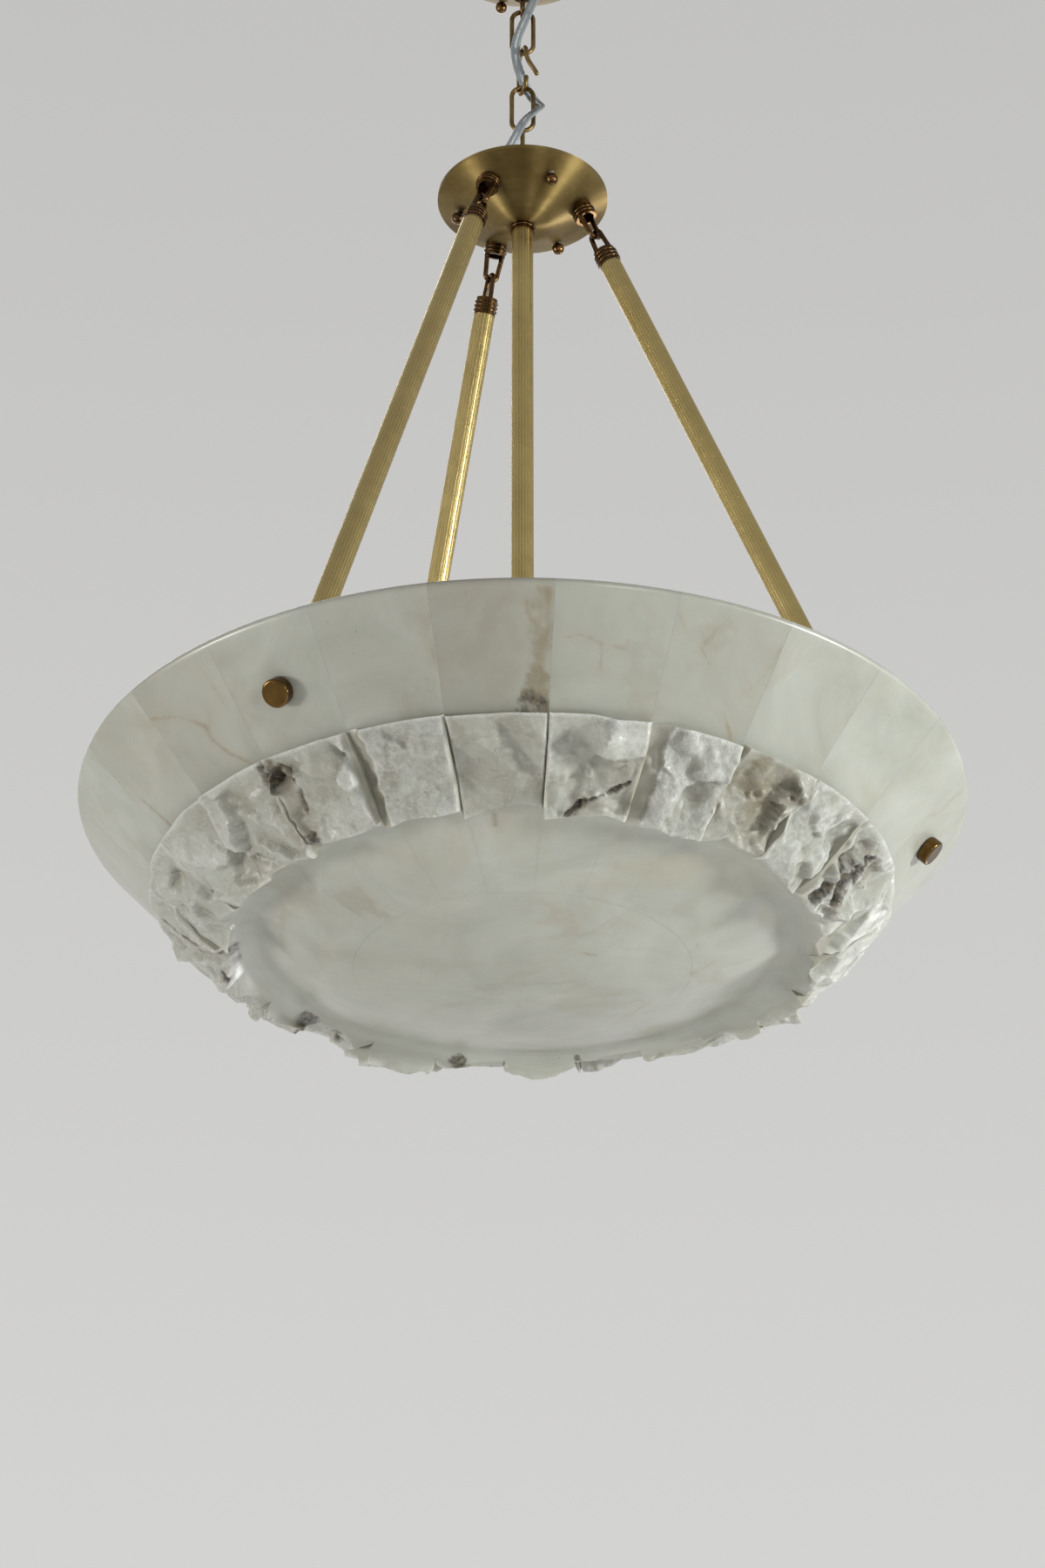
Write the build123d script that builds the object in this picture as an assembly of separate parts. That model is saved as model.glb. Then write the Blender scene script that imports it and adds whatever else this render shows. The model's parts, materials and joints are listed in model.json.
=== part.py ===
from build123d import *
import math
import os
import random

# Alabaster bowl chandelier: a stone bowl on three reeded rods, a brass hub, a short chain and a canopy.
# Frame: origin at the centre of the ceiling plane, +Z up, +X towards the first rod. Sizes in millimetres.

# Fits
seat_gap = 0.05          # between a piece and its seat, or a shaft and its hole, in one rigid group
thread_gap = 0.05        # radial, where a piece turns in its thread
swing_gap = 0.3          # between pieces that move on each other
cut_margin = 1.0         # how far a cutting solid runs past what it cuts

# Cups: the ceiling canopy and the hub cone
cup_radius = 63.5
cup_lip = 3.0
cup_wall = 1.5
cup_nose_radius = 17.0   # where the cone would meet the flat nose
cup_nose_blend = 26.0
canopy_depth = 37.0
hub_depth = 27.0

# Crossbar on the ceiling
crossbar_width = 20.0
crossbar_thickness = 2.5
crossbar_end = 6.0       # bar beyond each canopy stud
crossbar_angle = 114.0
ceiling_screw_circle = 70.0
ceiling_screw_hole = 4.5
terminal_length = 14.0
terminal_width = 16.0
terminal_height = 12.0
terminal_offset = 22.0

# Studs and ball nuts
stud_circle = 97.0
stud_diameter = 4.0
canopy_stud_count = 2
ball_diameter = 9.2
ball_bore_depth = 6.5
hub_stud_angle = 60.0

# Threaded nipples and their lock nuts
nipple_diameter = 10.0
nipple_bore = 6.4
nipple_grip = 8.0        # length held in a loop's collar
nipple_into_stem = 10.0
lock_nut_flats = 14.0
lock_nut_height = 4.0

# Chain
chain_angle = 3.7        # turn of the chain's planes about Z
link_count = 4
link_length = 45.0
link_width = 20.0
link_wire = 3.6
open_link = 2            # this link was opened once, and one leg stands off
open_link_turn = 20.0
open_leg_spring = 8.4
open_leg_gap = 6.0       # from the loose end to the height of the lower bend's centre

# Loops at the two ends of the chain
loop_height = 33.0
loop_width = 21.0
loop_wire = 4.0
loop_neck = 10.0              # between leg centres at the collar
loop_end_radius = 6.6
loop_collar_diameter = 17.0
loop_collar_height = 10.0

# Twin flex and its grommets
flex_diameter = 4.6
outlet_diameter = 8.0
grommet_bore = 5.2
grommet_height = 6.0
canopy_outlet_radius = 15.0
canopy_outlet_angle = 340.0   # from the chain's face-on plane
hub_outlet_radius = 17.0
hub_outlet_angle = 180.0

# Flex route in the chain's own plane frame: (sideways, away from the face-on view, height)
# One list for each stretch; a stretch ends halfway to the next one's first point.
flex_route = [
    [(14.1, -5.1, -43.6), (9.0, -7.0, -56.6), (2.5, -7.5, -76.6)],
    [(-5.2, -6.5, -97.6), (-5.6, -3.0, -112.1)],
    [(-1.0, 0.5, -128.6), (5.8, 6.0, -141.6), (11.5, 4.5, -150.6), (15.0, -0.5, -157.6)],
    [(9.0, -7.5, -167.6), (1.0, -14.0, -181.6), (-5.5, -12.5, -196.6)],
    [(-15.0, -4.0, -211.6), (-17.0, 0.0, -228.0)],
]
bend_share = 0.45             # of the shorter run beside a corner that its bend takes up

# Hub
hub_plate_thickness = 2.0
hub_eye_radius = 44.5
eye_twist = (45.0, 0.0, 0.0)  # turn of each hub eye about its rod
eye_wire = 3.8
eye_leg_spread = 12.6         # between leg centres at the collar
eye_end_spread = 8.6          # between leg centres at the round end
eye_end_radius = 4.0
eye_cup_diameter = 11.6       # hollow in the mouth of a hub eye
eye_cup_depth = 5.5
eye_shank_diameter = 6.0
eye_shank_length = 8.5
eye_nut_flats = 10.0
eye_nut_height = 4.0
eye_nut_offset = 2.6
hub_eye_collar_diameter = 16.0
hub_eye_collar_height = 9.0
hub_eye_loop = 21.0           # collar to the outside of the loop

# Reeded tubes
tube_diameter = 15.9
tube_bore = 13.0
reed_count = 24
reed_groove = 1.1
tube_spigot = 14.0
rod_eye_loop = 21.0
rod_collar_diameter = 16.4
rod_collar_height = 13.0
collar_bead = 1.7
loop_bead_count = 1
hub_eye_bead_count = 2
rod_eye_bead_count = 3
rod_foot_length = 22.0        # on the rod's axis, from the tube to the pad

# Centre stem and lamp cluster
stem_collar_diameter = 18.0
stem_collar_height = 5.0
stem_bead_count = 1
stem_below_rim = 15.0
cluster_flats = 50.0
cluster_turn = 30.0           # so that each lampholder stands on a flat
cluster_height = 40.0
cluster_cover_height = 7.0
lampholder_diameter = 36.0
lampholder_length = 48.0
lampholder_cavity = 27.4
cavity_depth = 26.0
bulb_count = 3
bulb_cap_diameter = 26.0
bulb_cap_length = 25.0
bulb_diameter = 45.0
bulb_neck_diameter = 24.0
bulb_reach = 34.0             # cap to the centre of the globe
bulb_glass = 1.2

# Stone bowl, with depths below its rim
bowl_drop = 771.6             # ceiling to rim
bowl_diameter = 600.0
rim_round = 3.0
flange_depth = 62.0
flange_width = 58.0           # on plan, from the rim in to the flange's foot
flange_wall = 15.0
shoulder_depth = 26.0         # from the flange's foot down to the edge of the dish
shoulder_width = 57.0
dish_rise = 42.0
dish_wall = 14.0
disc_diameter = 224.0
stave_count = 24
staves_per_node = 2
seam = 0.2
block_ledge = 7.0             # the rough block beyond the flange's foot
block_toe = 13.0              # its lower edge beyond the edge of the dish
block_drop = 18.0             # and below it
block_root = 8.0              # how far the block's back lies inside the stave
block_roughness = 4.6
block_seed = 11
# How far each block's foot stands in, from stave 0 round the bowl; a minus stands out
block_set_backs = (3, -2, -3, 0, 2, 6, 5, 6, -2, 9, 5, 0, -2, 0, 2, 0, 0, 1, 7, 0, 0, 4, 1, 0)

# Rods, knobs and pads
rod_count = 3
knob_inset = 30.0             # on plan, from the rim to the knob
knob_diameter = 18.7
knob_height = 7.5
knob_round = 1.5
knob_shank_diameter = 6.0
knob_thread_length = 8.0
knob_hole_diameter = 8.0
washer_diameter = 15.0
washer_thickness = 0.8
pad_diameter = 18.0
pad_thickness = 1.5


# Places worked out from the sizes

link_pitch = link_length - 2 * link_wire - swing_gap
canopy_loop_wire_z = -(canopy_depth + loop_height - loop_wire / 2)
wire_contact = (loop_wire + link_wire) / 2 + swing_gap
first_link_top = canopy_loop_wire_z + wire_contact
last_link_foot = first_link_top - (link_count - 1) * link_pitch - (link_length - link_wire)
hub_loop_wire_z = last_link_foot + wire_contact
hub_top = hub_loop_wire_z + loop_wire / 2 - loop_height
hub_nose = hub_top - hub_depth
rim_z = -bowl_drop
bowl_radius = bowl_diameter / 2
disc_radius = disc_diameter / 2
stud_radius = stud_circle / 2
tube_radius = tube_diameter / 2
stave_angle = 360.0 / stave_count
flange_foot_radius = bowl_radius - flange_width
dish_edge_radius = flange_foot_radius - shoulder_width
dish_edge_depth = flange_depth + shoulder_depth
dish_depth = dish_edge_depth + dish_rise
block_lower_radius = dish_edge_radius + block_toe
block_lower_depth = dish_edge_depth + block_drop
knob_radius_at = bowl_radius - knob_inset
dish_outer_radius = (dish_edge_radius**2 + dish_rise**2) / (2 * dish_rise)
dish_inner_radius = dish_outer_radius - dish_wall
dish_centre_z = dish_outer_radius - dish_depth


def cone_slope(depth):
    """Angle of a cup's cone from level."""
    return math.atan2(depth - cup_lip, cup_radius - cup_nose_radius)


def cone_z(depth, radius):
    """Height of a cup's outer cone at a radius, from its rim."""
    return -cup_lip - (cup_radius - radius) * math.tan(cone_slope(depth))


# Directions in the half-plane of a rod: (radius, height)
flange_run = Vector(flange_width, flange_depth).normalized()
flange_out = Vector(flange_run.Y, -flange_run.X)
rim_half_angle = math.atan2(flange_run.Y, flange_run.X) / 2
rim_overhang = rim_round * (1 / math.tan(rim_half_angle) - 1)   # sharp corner beyond the rounded rim
rim_rise = rim_overhang * flange_run.Y / flange_run.X
knob_depth_at = knob_inset * flange_depth / flange_width
knob_seat = Vector(knob_radius_at, rim_z - knob_depth_at)
pad_lift = seat_gap + pad_diameter**2 / (8 * knob_radius_at)   # a flat pad on a hollow wall
foot_seat = knob_seat - flange_out * (flange_wall + pad_lift + pad_thickness)
eye_seat = Vector(hub_eye_radius, hub_top + cone_z(hub_depth, hub_eye_radius))
rod_line = (foot_seat - eye_seat).normalized()
rod_span = (foot_seat - eye_seat).length


def in_rod_plane(point, direction, side):
    """A work plane on a point of the first rod's half-plane, with Z along the direction."""
    return Plane(
        origin=(point.X, 0, point.Y),
        x_dir=side,
        z_dir=(direction.X, 0, direction.Y),
    )


rod_frame = in_rod_plane(eye_seat, rod_line, (0, 1, 0))
knob_frame = in_rod_plane(knob_seat, flange_out, (0, 1, 0))


# Shapes used more than once

def turned(points, radii=None, arc=360.0):
    """Turn an outline of (radius, height) points about Z, with its corners rounded."""
    corners = [(radius, 0, height) for radius, height in points]
    rounds = radii or [0] * len(corners)
    outline = FilletPolyline(*corners, radius=rounds, close=True)
    return revolve(make_face(outline), axis=Axis.Z, revolution_arc=arc)


def rod(radius, low, high):
    """A plain cylinder on Z between two heights."""
    return Pos(0, 0, (low + high) / 2) * Cylinder(radius, high - low)


def ring(outer, inner, low, high):
    return rod(outer, low, high) - rod(inner, low - cut_margin, high + cut_margin)


def hex_nut(flats, bore_radius, low, height):
    blank = extrude(RegularPolygon(flats / 2, 6, major_radius=False), height)
    return Pos(0, 0, low) * blank - rod(bore_radius, low - cut_margin, low + height + cut_margin)


def around(shape, count, start=0.0):
    """Copies of a shape, evenly round Z."""
    return [Rot(0, 0, start + i * 360.0 / count) * shape for i in range(count)]


def at_angle(shape, radius, angle):
    return Rot(0, 0, angle) * Pos(radius, 0, 0) * shape


def swept(path, diameter):
    """A round wire along a path."""
    start = Plane(origin=path @ 0, z_dir=path % 0)
    return sweep(start * Circle(diameter / 2), path=path)


def cup_inside(depth, inset, top):
    """The space inside a cup's outer face, set in by a wall, up to a height."""
    slope = cone_slope(depth)
    side = cup_radius - inset
    cone_r = cup_radius - inset * math.sin(slope)
    cone_h = -cup_lip + inset * math.cos(slope)
    shoulder = cone_h + (side - cone_r) * math.tan(slope)
    floor = -depth + inset
    nose = cone_r + (floor - cone_h) / math.tan(slope)
    points = [(0, top), (side, top), (side, shoulder), (nose, floor), (0, floor)]
    return turned(points, [0, 0, 0, cup_nose_blend - inset, 0])


def cup_shell(depth):
    return cup_inside(depth, 0.0, 0.0) - cup_inside(depth, cup_wall, cut_margin)


def ball_nut_height(depth):
    """Height of a ball's centre that rests on a cup's cone at the stud circle."""
    slope = cone_slope(depth)
    return cone_z(depth, stud_radius) - (ball_diameter / 2 + seat_gap) / math.cos(slope)


def ball_nut(depth):
    centre = ball_nut_height(depth)
    top = centre + ball_diameter / 2
    bore = rod(stud_diameter / 2 + seat_gap, top - ball_bore_depth, top + cut_margin)
    return Pos(0, 0, centre) * Sphere(ball_diameter / 2) - bore


def stud(depth, top):
    foot = ball_nut_height(depth) + ball_diameter / 2 - ball_bore_depth + seat_gap
    return rod(stud_diameter / 2, foot, top)


def chain_loop():
    """A collar with an oval loop below it, hanging from its top face at height 0."""
    collar = beaded(loop_collar_diameter, -loop_collar_height, 0, loop_bead_count)
    half = (loop_width - loop_wire) / 2
    end = -loop_height + loop_wire / 2
    start = -loop_collar_height + loop_wire / 2
    neck = loop_neck / 2
    corners = [(-neck, 0, start), (-half, 0, end), (half, 0, end), (neck, 0, start)]
    path = FilletPolyline(*corners, radius=[loop_end_radius, loop_end_radius])
    bore = rod(nipple_diameter / 2 + seat_gap, -nipple_grip - seat_gap, cut_margin)
    return collar + swept(path, loop_wire) - bore


def bail(length):
    """The loop of an eye: two legs that narrow to a round end, hanging from height 0."""
    leg = eye_leg_spread / 2
    end = eye_end_spread / 2
    foot = length - eye_wire / 2
    corners = [(-leg, 0, -eye_wire / 2), (-end, 0, foot), (end, 0, foot), (leg, 0, -eye_wire / 2)]
    return swept(FilletPolyline(*corners, radius=[eye_end_radius, eye_end_radius]), eye_wire)


def beaded(diameter, low, high, bead_count):
    """A collar between two heights with evenly spaced beads."""
    body = rod(diameter / 2, low, high)
    step = (high - low) / (bead_count + 1)
    for i in range(bead_count):
        body += Pos(0, 0, low + (i + 1) * step) * Torus(diameter / 2, collar_bead / 2)
    return body


def reeded_tube(length):
    outline = Circle(tube_radius) - Circle(tube_bore / 2)
    grooves = PolarLocations(tube_radius, reed_count) * Circle(reed_groove / 2)
    return extrude(outline - grooves, length)


# Ceiling end

def canopy_pieces():
    bar_half = stud_radius + crossbar_end
    bar = Pos(0, 0, -crossbar_thickness / 2) * Box(2 * bar_half, crossbar_width, crossbar_thickness)
    below = -crossbar_thickness - cut_margin
    bar -= rod(nipple_diameter / 2 + seat_gap, below, cut_margin)
    stud_hole = rod(stud_diameter / 2 + seat_gap, below, cut_margin)
    screw_hole = rod(ceiling_screw_hole / 2, below, cut_margin)
    for side in (-1, 1):
        bar -= Pos(side * stud_radius, 0, 0) * stud_hole
        bar -= Pos(side * ceiling_screw_circle / 2, 0, 0) * screw_hole

    cup_hole = rod(stud_diameter / 2 + seat_gap, -canopy_depth, 0)
    shell = cup_shell(canopy_depth)
    shell -= rod(nipple_diameter / 2 + seat_gap, -canopy_depth - cut_margin, 0)
    for side in (-1, 1):
        shell -= at_angle(cup_hole, side * stud_radius, crossbar_angle)
    outlet = rod(outlet_diameter / 2, -canopy_depth - cut_margin, 0)
    shell -= at_angle(outlet, canopy_outlet_radius, chain_angle + canopy_outlet_angle)

    block = Box(terminal_length, terminal_width, terminal_height)
    block = Pos(terminal_offset, 0, -crossbar_thickness - terminal_height / 2) * block
    nose_inside = -canopy_depth + cup_wall
    bore = nipple_diameter / 2 + seat_gap
    nuts = [
        hex_nut(lock_nut_flats, bore, -crossbar_thickness - lock_nut_height, lock_nut_height),
        hex_nut(lock_nut_flats, bore, nose_inside, lock_nut_height),
    ]
    nipple = ring(nipple_diameter / 2, nipple_bore / 2, -canopy_depth - nipple_grip, -seat_gap)
    sleeve = ring(outlet_diameter / 2 - seat_gap, grommet_bore / 2, 0, grommet_height)
    sleeve = Pos(0, 0, -canopy_depth - cup_wall) * sleeve
    spin = Rot(0, 0, crossbar_angle)
    loop = Rot(0, 0, chain_angle + 90) * Pos(0, 0, -canopy_depth) * chain_loop()
    return {
        "ceiling_canopy": [shell],
        "ceiling_crossbar": [spin * bar],
        "terminal_block": [spin * block],
        "canopy_studs": around(Pos(stud_radius, 0, 0) * stud(canopy_depth, 0), canopy_stud_count,
                               crossbar_angle),
        "canopy_ball_nuts": around(Pos(stud_radius, 0, 0) * ball_nut(canopy_depth), canopy_stud_count,
                                   crossbar_angle),
        "canopy_nipple": [nipple],
        "canopy_lock_nuts": nuts,
        "canopy_grommet": [at_angle(sleeve, canopy_outlet_radius, chain_angle + canopy_outlet_angle)],
        "canopy_loop": [loop],
    }


# Chain and flex

def closed_link():
    """A chain link in the YZ plane, on its middle."""
    outline = SlotOverall(link_length - link_wire, link_width - link_wire).wire()
    return Rot(0, 90, 0) * swept(outline, link_wire)


def opened_link():
    """The same link cut above its lower bend, with that leg sprung out towards +X."""
    bend = (link_width - link_wire) / 2
    straight = (link_length - link_width) / 2
    loose = (open_leg_spring, -bend, open_leg_gap - straight)
    leg_top = (0, -bend, straight)
    far_top = (0, bend, straight)
    far_foot = (0, bend, -straight)
    cut = (0, -bend, -straight)
    path = Wire([
        Spline(loose, leg_top, tangents=[(-open_leg_spring, 0, link_width), (0, 0, 1)]),
        ThreePointArc(leg_top, (0, 0, straight + bend), far_top),
        Line(far_top, far_foot),
        ThreePointArc(far_foot, (0, 0, -straight - bend), cut),
    ])
    link = swept(path, link_wire)
    for end in (loose, cut):
        link += Pos(*end) * Sphere(link_wire / 2)
    return link


def chain_pieces():
    pieces = {}
    for i in range(link_count):
        middle = first_link_top - i * link_pitch - (link_length - link_wire) / 2
        turn = chain_angle + (90 if i % 2 == 0 else 0)
        link = closed_link()
        if i + 1 == open_link:
            link = Rot(0, 0, open_link_turn) * opened_link()
        pieces[f"chain_link_{i + 1}"] = [Pos(0, 0, middle) * Rot(0, 0, turn) * link]
    return pieces


def bend_radius(before, corner, after):
    """The largest arc that the two runs beside a corner leave room for."""
    turn = math.radians((corner - before).get_angle(after - corner))
    run = min((corner - before).length, (after - corner).length)
    return bend_share * run / math.tan(turn / 2)


def flex_pieces():
    """The stretches of the flex, whose two ends stand upright in the grommets."""
    stretches = [[Vector(*point) for point in stretch] for stretch in flex_route]
    top = stretches[0][0]
    foot = stretches[-1][-1]
    start = Vector(top.X, top.Y, -canopy_depth + cup_wall)
    end = Vector(foot.X, foot.Y, hub_top - hub_plate_thickness)
    before = start
    pieces = {}
    for number, corners in enumerate(stretches, 1):
        last = number == len(stretches)
        after = end if last else stretches[number][0]
        finish = end if last else (corners[-1] + after) * 0.5
        around_corners = [before, *corners, after]
        radii = [bend_radius(*around_corners[i:i + 3]) for i in range(len(corners))]
        path = FilletPolyline(start, *corners, finish, radius=radii)
        pieces[f"flex_{number}"] = [Rot(0, 0, chain_angle) * swept(path, flex_diameter)]
        print(f"flex stretch {number}: length {path.length:.1f}, tightest bend {min(radii):.1f}")
        start = finish
        before = corners[-1]
    return pieces


# Hub, stem and lamps

def hub_pieces():
    lift = Pos(0, 0, hub_top)
    plate_r = cup_radius - cup_wall - seat_gap
    plate = rod(plate_r, -hub_plate_thickness, 0)
    below = -hub_plate_thickness - cut_margin
    plate -= rod(nipple_diameter / 2 + seat_gap, below, cut_margin)
    cone = cup_shell(hub_depth) - rod(nipple_diameter / 2 + seat_gap, -hub_depth - cut_margin, 0)
    stud_hole = rod(stud_diameter / 2 + seat_gap, -hub_depth, cut_margin)
    for hole in around(Pos(stud_radius, 0, 0) * stud_hole, rod_count, hub_stud_angle):
        plate -= hole
        cone -= hole
    outlet = rod(outlet_diameter / 2, below, cut_margin)
    outlet_angle = chain_angle + hub_outlet_angle
    plate -= at_angle(outlet, hub_outlet_radius, outlet_angle)
    shank_hole = rod_frame * rod(eye_shank_diameter / 2 + seat_gap, -eye_shank_length, cup_wall)
    cone = lift * cone
    for hole in around(shank_hole, rod_count):
        cone -= hole

    bore = nipple_diameter / 2 + seat_gap
    nuts = [
        hex_nut(lock_nut_flats, bore, -hub_plate_thickness - lock_nut_height, lock_nut_height),
        hex_nut(lock_nut_flats, bore, -hub_depth + cup_wall, lock_nut_height),
    ]
    nipple_foot = -hub_depth - nipple_into_stem
    nipple = ring(nipple_diameter / 2, nipple_bore / 2, nipple_foot, nipple_grip)
    sleeve = ring(outlet_diameter / 2 - seat_gap, grommet_bore / 2, 0, grommet_height)
    sleeve = Pos(0, 0, -hub_plate_thickness - cup_wall) * sleeve
    loop = Rot(0, 0, chain_angle) * Rot(180, 0, 0) * chain_loop()
    return {
        "hub_plate": [lift * plate],
        "hub_cone": [cone],
        "hub_studs": [lift * s for s in around(Pos(stud_radius, 0, 0) * stud(hub_depth, 0), rod_count,
                                               hub_stud_angle)],
        "hub_ball_nuts": [lift * n for n in around(Pos(stud_radius, 0, 0) * ball_nut(hub_depth), rod_count,
                                                   hub_stud_angle)],
        "hub_nipple": [lift * nipple],
        "hub_lock_nuts": [lift * nut for nut in nuts],
        "hub_grommet": [lift * at_angle(sleeve, hub_outlet_radius, outlet_angle)],
        "hub_loop": [lift * loop],
    }


def hub_eye_pieces():
    cup = Pos(0, 0, hub_top) * cup_inside(hub_depth, -seat_gap, 0.0)
    beyond = hub_eye_collar_diameter * math.tan(cone_slope(hub_depth))   # reaches into the slanted cone
    collar = rod(hub_eye_collar_diameter / 2, -beyond, 0)
    collar += beaded(hub_eye_collar_diameter, 0, hub_eye_collar_height, hub_eye_bead_count)
    mouth = hub_eye_collar_height - eye_cup_depth
    collar -= rod(eye_cup_diameter / 2, mouth, hub_eye_collar_height + cut_margin)
    collar = rod_frame * collar - cup
    shank = rod_frame * rod(eye_shank_diameter / 2, -eye_shank_length, mouth)
    nut_low = -eye_nut_offset - eye_nut_height
    nut = rod_frame * hex_nut(eye_nut_flats, eye_shank_diameter / 2 + seat_gap, nut_low, eye_nut_height)
    eyes = []
    for i, twist in enumerate(eye_twist):
        loop = Pos(0, 0, hub_eye_collar_height) * Rot(0, 0, twist) * bail(hub_eye_loop)
        eyes.append(Rot(0, 0, i * 360.0 / rod_count) * (collar + shank + rod_frame * loop))
    return {"hub_eyes": eyes, "hub_eye_nuts": around(nut, rod_count)}


def stem_pieces():
    stem_top = hub_nose - stem_collar_height
    stem_foot = rim_z - stem_below_rim
    collar = beaded(stem_collar_diameter, stem_top, hub_nose, stem_bead_count)
    collar += rod(tube_bore / 2 - seat_gap, stem_top - tube_spigot, stem_top)
    bore_foot = stem_top - tube_spigot - cut_margin
    collar -= rod(nipple_diameter / 2 + seat_gap, bore_foot, hub_nose + cut_margin)
    tube = Pos(0, 0, stem_foot) * reeded_tube(stem_top - stem_foot)

    body_foot = stem_foot - cluster_height
    flats = RegularPolygon(cluster_flats / 2, 6, major_radius=False)
    body = Pos(0, 0, body_foot) * Rot(0, 0, cluster_turn) * extrude(flats, cluster_height)
    body += rod(tube_bore / 2 - seat_gap, stem_foot, stem_foot + tube_spigot)
    cover_r = cluster_flats / 2
    cover = turned(
        [(0, 0), (cover_r, 0), (cover_r, -cluster_cover_height), (0, -cluster_cover_height)],
        [0, 0, cluster_cover_height / 2, 0],
    )

    axis_z = stem_foot - cluster_height / 2
    holder = rod(lampholder_diameter / 2, 0, lampholder_length)
    mouth = lampholder_length + cut_margin
    holder -= rod(lampholder_cavity / 2, lampholder_length - cavity_depth, mouth)
    cap_foot = lampholder_length - cavity_depth + swing_gap
    cap_top = cap_foot + bulb_cap_length
    cap = rod(bulb_cap_diameter / 2, cap_foot, cap_top)
    globe_z = cap_top + bulb_reach

    def envelope(skin):
        neck = rod(bulb_neck_diameter / 2 - skin, cap_top, globe_z)
        return neck + Pos(0, 0, globe_z) * Sphere(bulb_diameter / 2 - skin)

    glass = envelope(0.0) - envelope(bulb_glass)
    outward = Pos(cluster_flats / 2, 0, axis_z) * Rot(0, 90, 0)
    pieces = {
        "stem_collar": [collar],
        "stem_tube": [tube],
        "lamp_cluster_body": [body],
        "lamp_cluster_cover": [Pos(0, 0, body_foot) * cover],
        "lampholders": around(outward * holder, bulb_count, hub_stud_angle),
    }
    for i in range(bulb_count):
        turn = Rot(0, 0, hub_stud_angle + i * 360.0 / bulb_count) * outward
        pieces[f"bulb_{i + 1}"] = [turn * cap, turn * glass]
    return pieces


# Rods, knobs and their pads

def rod_pieces():
    collar_foot = hub_eye_collar_height + hub_eye_loop - 2 * eye_wire - swing_gap + rod_eye_loop
    tube_top = collar_foot + rod_collar_height
    tube_foot = rod_span - rod_foot_length
    collar = beaded(rod_collar_diameter, collar_foot, tube_top, rod_eye_bead_count)
    collar += rod(tube_bore / 2 - seat_gap, tube_top, tube_top + tube_spigot)
    tube = Pos(0, 0, tube_top) * reeded_tube(tube_foot - tube_top)

    beyond = rod_span + tube_diameter
    foot = rod(tube_radius, tube_foot, beyond)
    foot += rod(tube_bore / 2 - seat_gap, tube_foot - tube_spigot, tube_foot)
    foot = rod_frame * foot
    inner_face = -flange_wall - pad_lift - pad_thickness
    waste_height = 2 * tube_diameter
    waste = Pos(0, 0, inner_face + waste_height / 2) * Box(2 * waste_height, 2 * waste_height, waste_height)
    waste = knob_frame * waste
    thread_foot = inner_face - knob_thread_length - cut_margin
    tapped = knob_frame * rod(knob_shank_diameter / 2 + thread_gap, thread_foot, cut_margin)
    foot = foot - waste - tapped
    pad = knob_frame * ring(pad_diameter / 2, knob_hole_diameter / 2, inner_face, inner_face + pad_thickness)
    washer = knob_frame * ring(washer_diameter / 2, knob_hole_diameter / 2, seat_gap,
                               seat_gap + washer_thickness)

    eyes = []
    pieces = {}
    for i, twist in enumerate(eye_twist):
        loop = Pos(0, 0, collar_foot) * Rot(0, 0, twist + 90) * Rot(180, 0, 0) * bail(rod_eye_loop)
        turn = Rot(0, 0, i * 360.0 / rod_count)
        eyes.append(turn * (rod_frame * (collar + loop)))
        pieces[f"rod_tube_{i + 1}"] = [turn * (rod_frame * tube)]
    pieces["rod_eyes"] = eyes
    pieces["rod_feet"] = around(foot, rod_count)
    pieces["foot_pads"] = around(pad, rod_count)
    pieces["knob_washers"] = around(washer, rod_count)
    return pieces


def knob_pieces():
    low = 2 * seat_gap + washer_thickness
    high = low + knob_height
    radius = knob_diameter / 2
    head = turned([(0, low), (radius, low), (radius, high), (0, high)], [0, knob_round / 3, knob_round, 0])
    tip = -flange_wall - pad_lift - pad_thickness - knob_thread_length
    knob = knob_frame * (head + rod(knob_shank_diameter / 2, tip, low))
    return {f"knob_{i + 1}": [piece] for i, piece in enumerate(around(knob, rod_count))}


# Stone bowl

def dish_z(sphere_radius, radius):
    return dish_centre_z - math.sqrt(sphere_radius**2 - radius**2)


def flange_inner(depth_z):
    """Radius of the flange's inner face at a height from the rim."""
    return bowl_radius - flange_wall / flange_run.Y + depth_z * flange_run.X / flange_run.Y


def dish_arc(sphere_radius, start, finish):
    """An arc of the dish between two radii, in the XZ plane."""
    stops = [(r, 0, dish_z(sphere_radius, r)) for r in (start, (start + finish) / 2, finish)]
    return ThreePointArc(*stops)


def stave_section():
    """Section of a stave without its rough block."""
    inner_edge = disc_radius + seam
    outer = dish_arc(dish_outer_radius, dish_edge_radius, inner_edge)
    inner = dish_arc(dish_inner_radius, inner_edge, dish_edge_radius)
    inner_foot = flange_wall - flange_depth
    flange = FilletPolyline(
        (dish_edge_radius, 0, dish_z(dish_inner_radius, dish_edge_radius)),
        (flange_inner(inner_foot), 0, inner_foot),
        (flange_inner(rim_rise), 0, rim_rise),
        (bowl_radius + rim_overhang, 0, rim_rise),
        (flange_foot_radius, 0, -flange_depth),
        (dish_edge_radius, 0, dish_z(dish_outer_radius, dish_edge_radius)),
        radius=[0, rim_round, rim_round, 0],
    )
    return make_face([*flange.edges(), outer, Line(outer @ 1, inner @ 0), inner])


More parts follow.
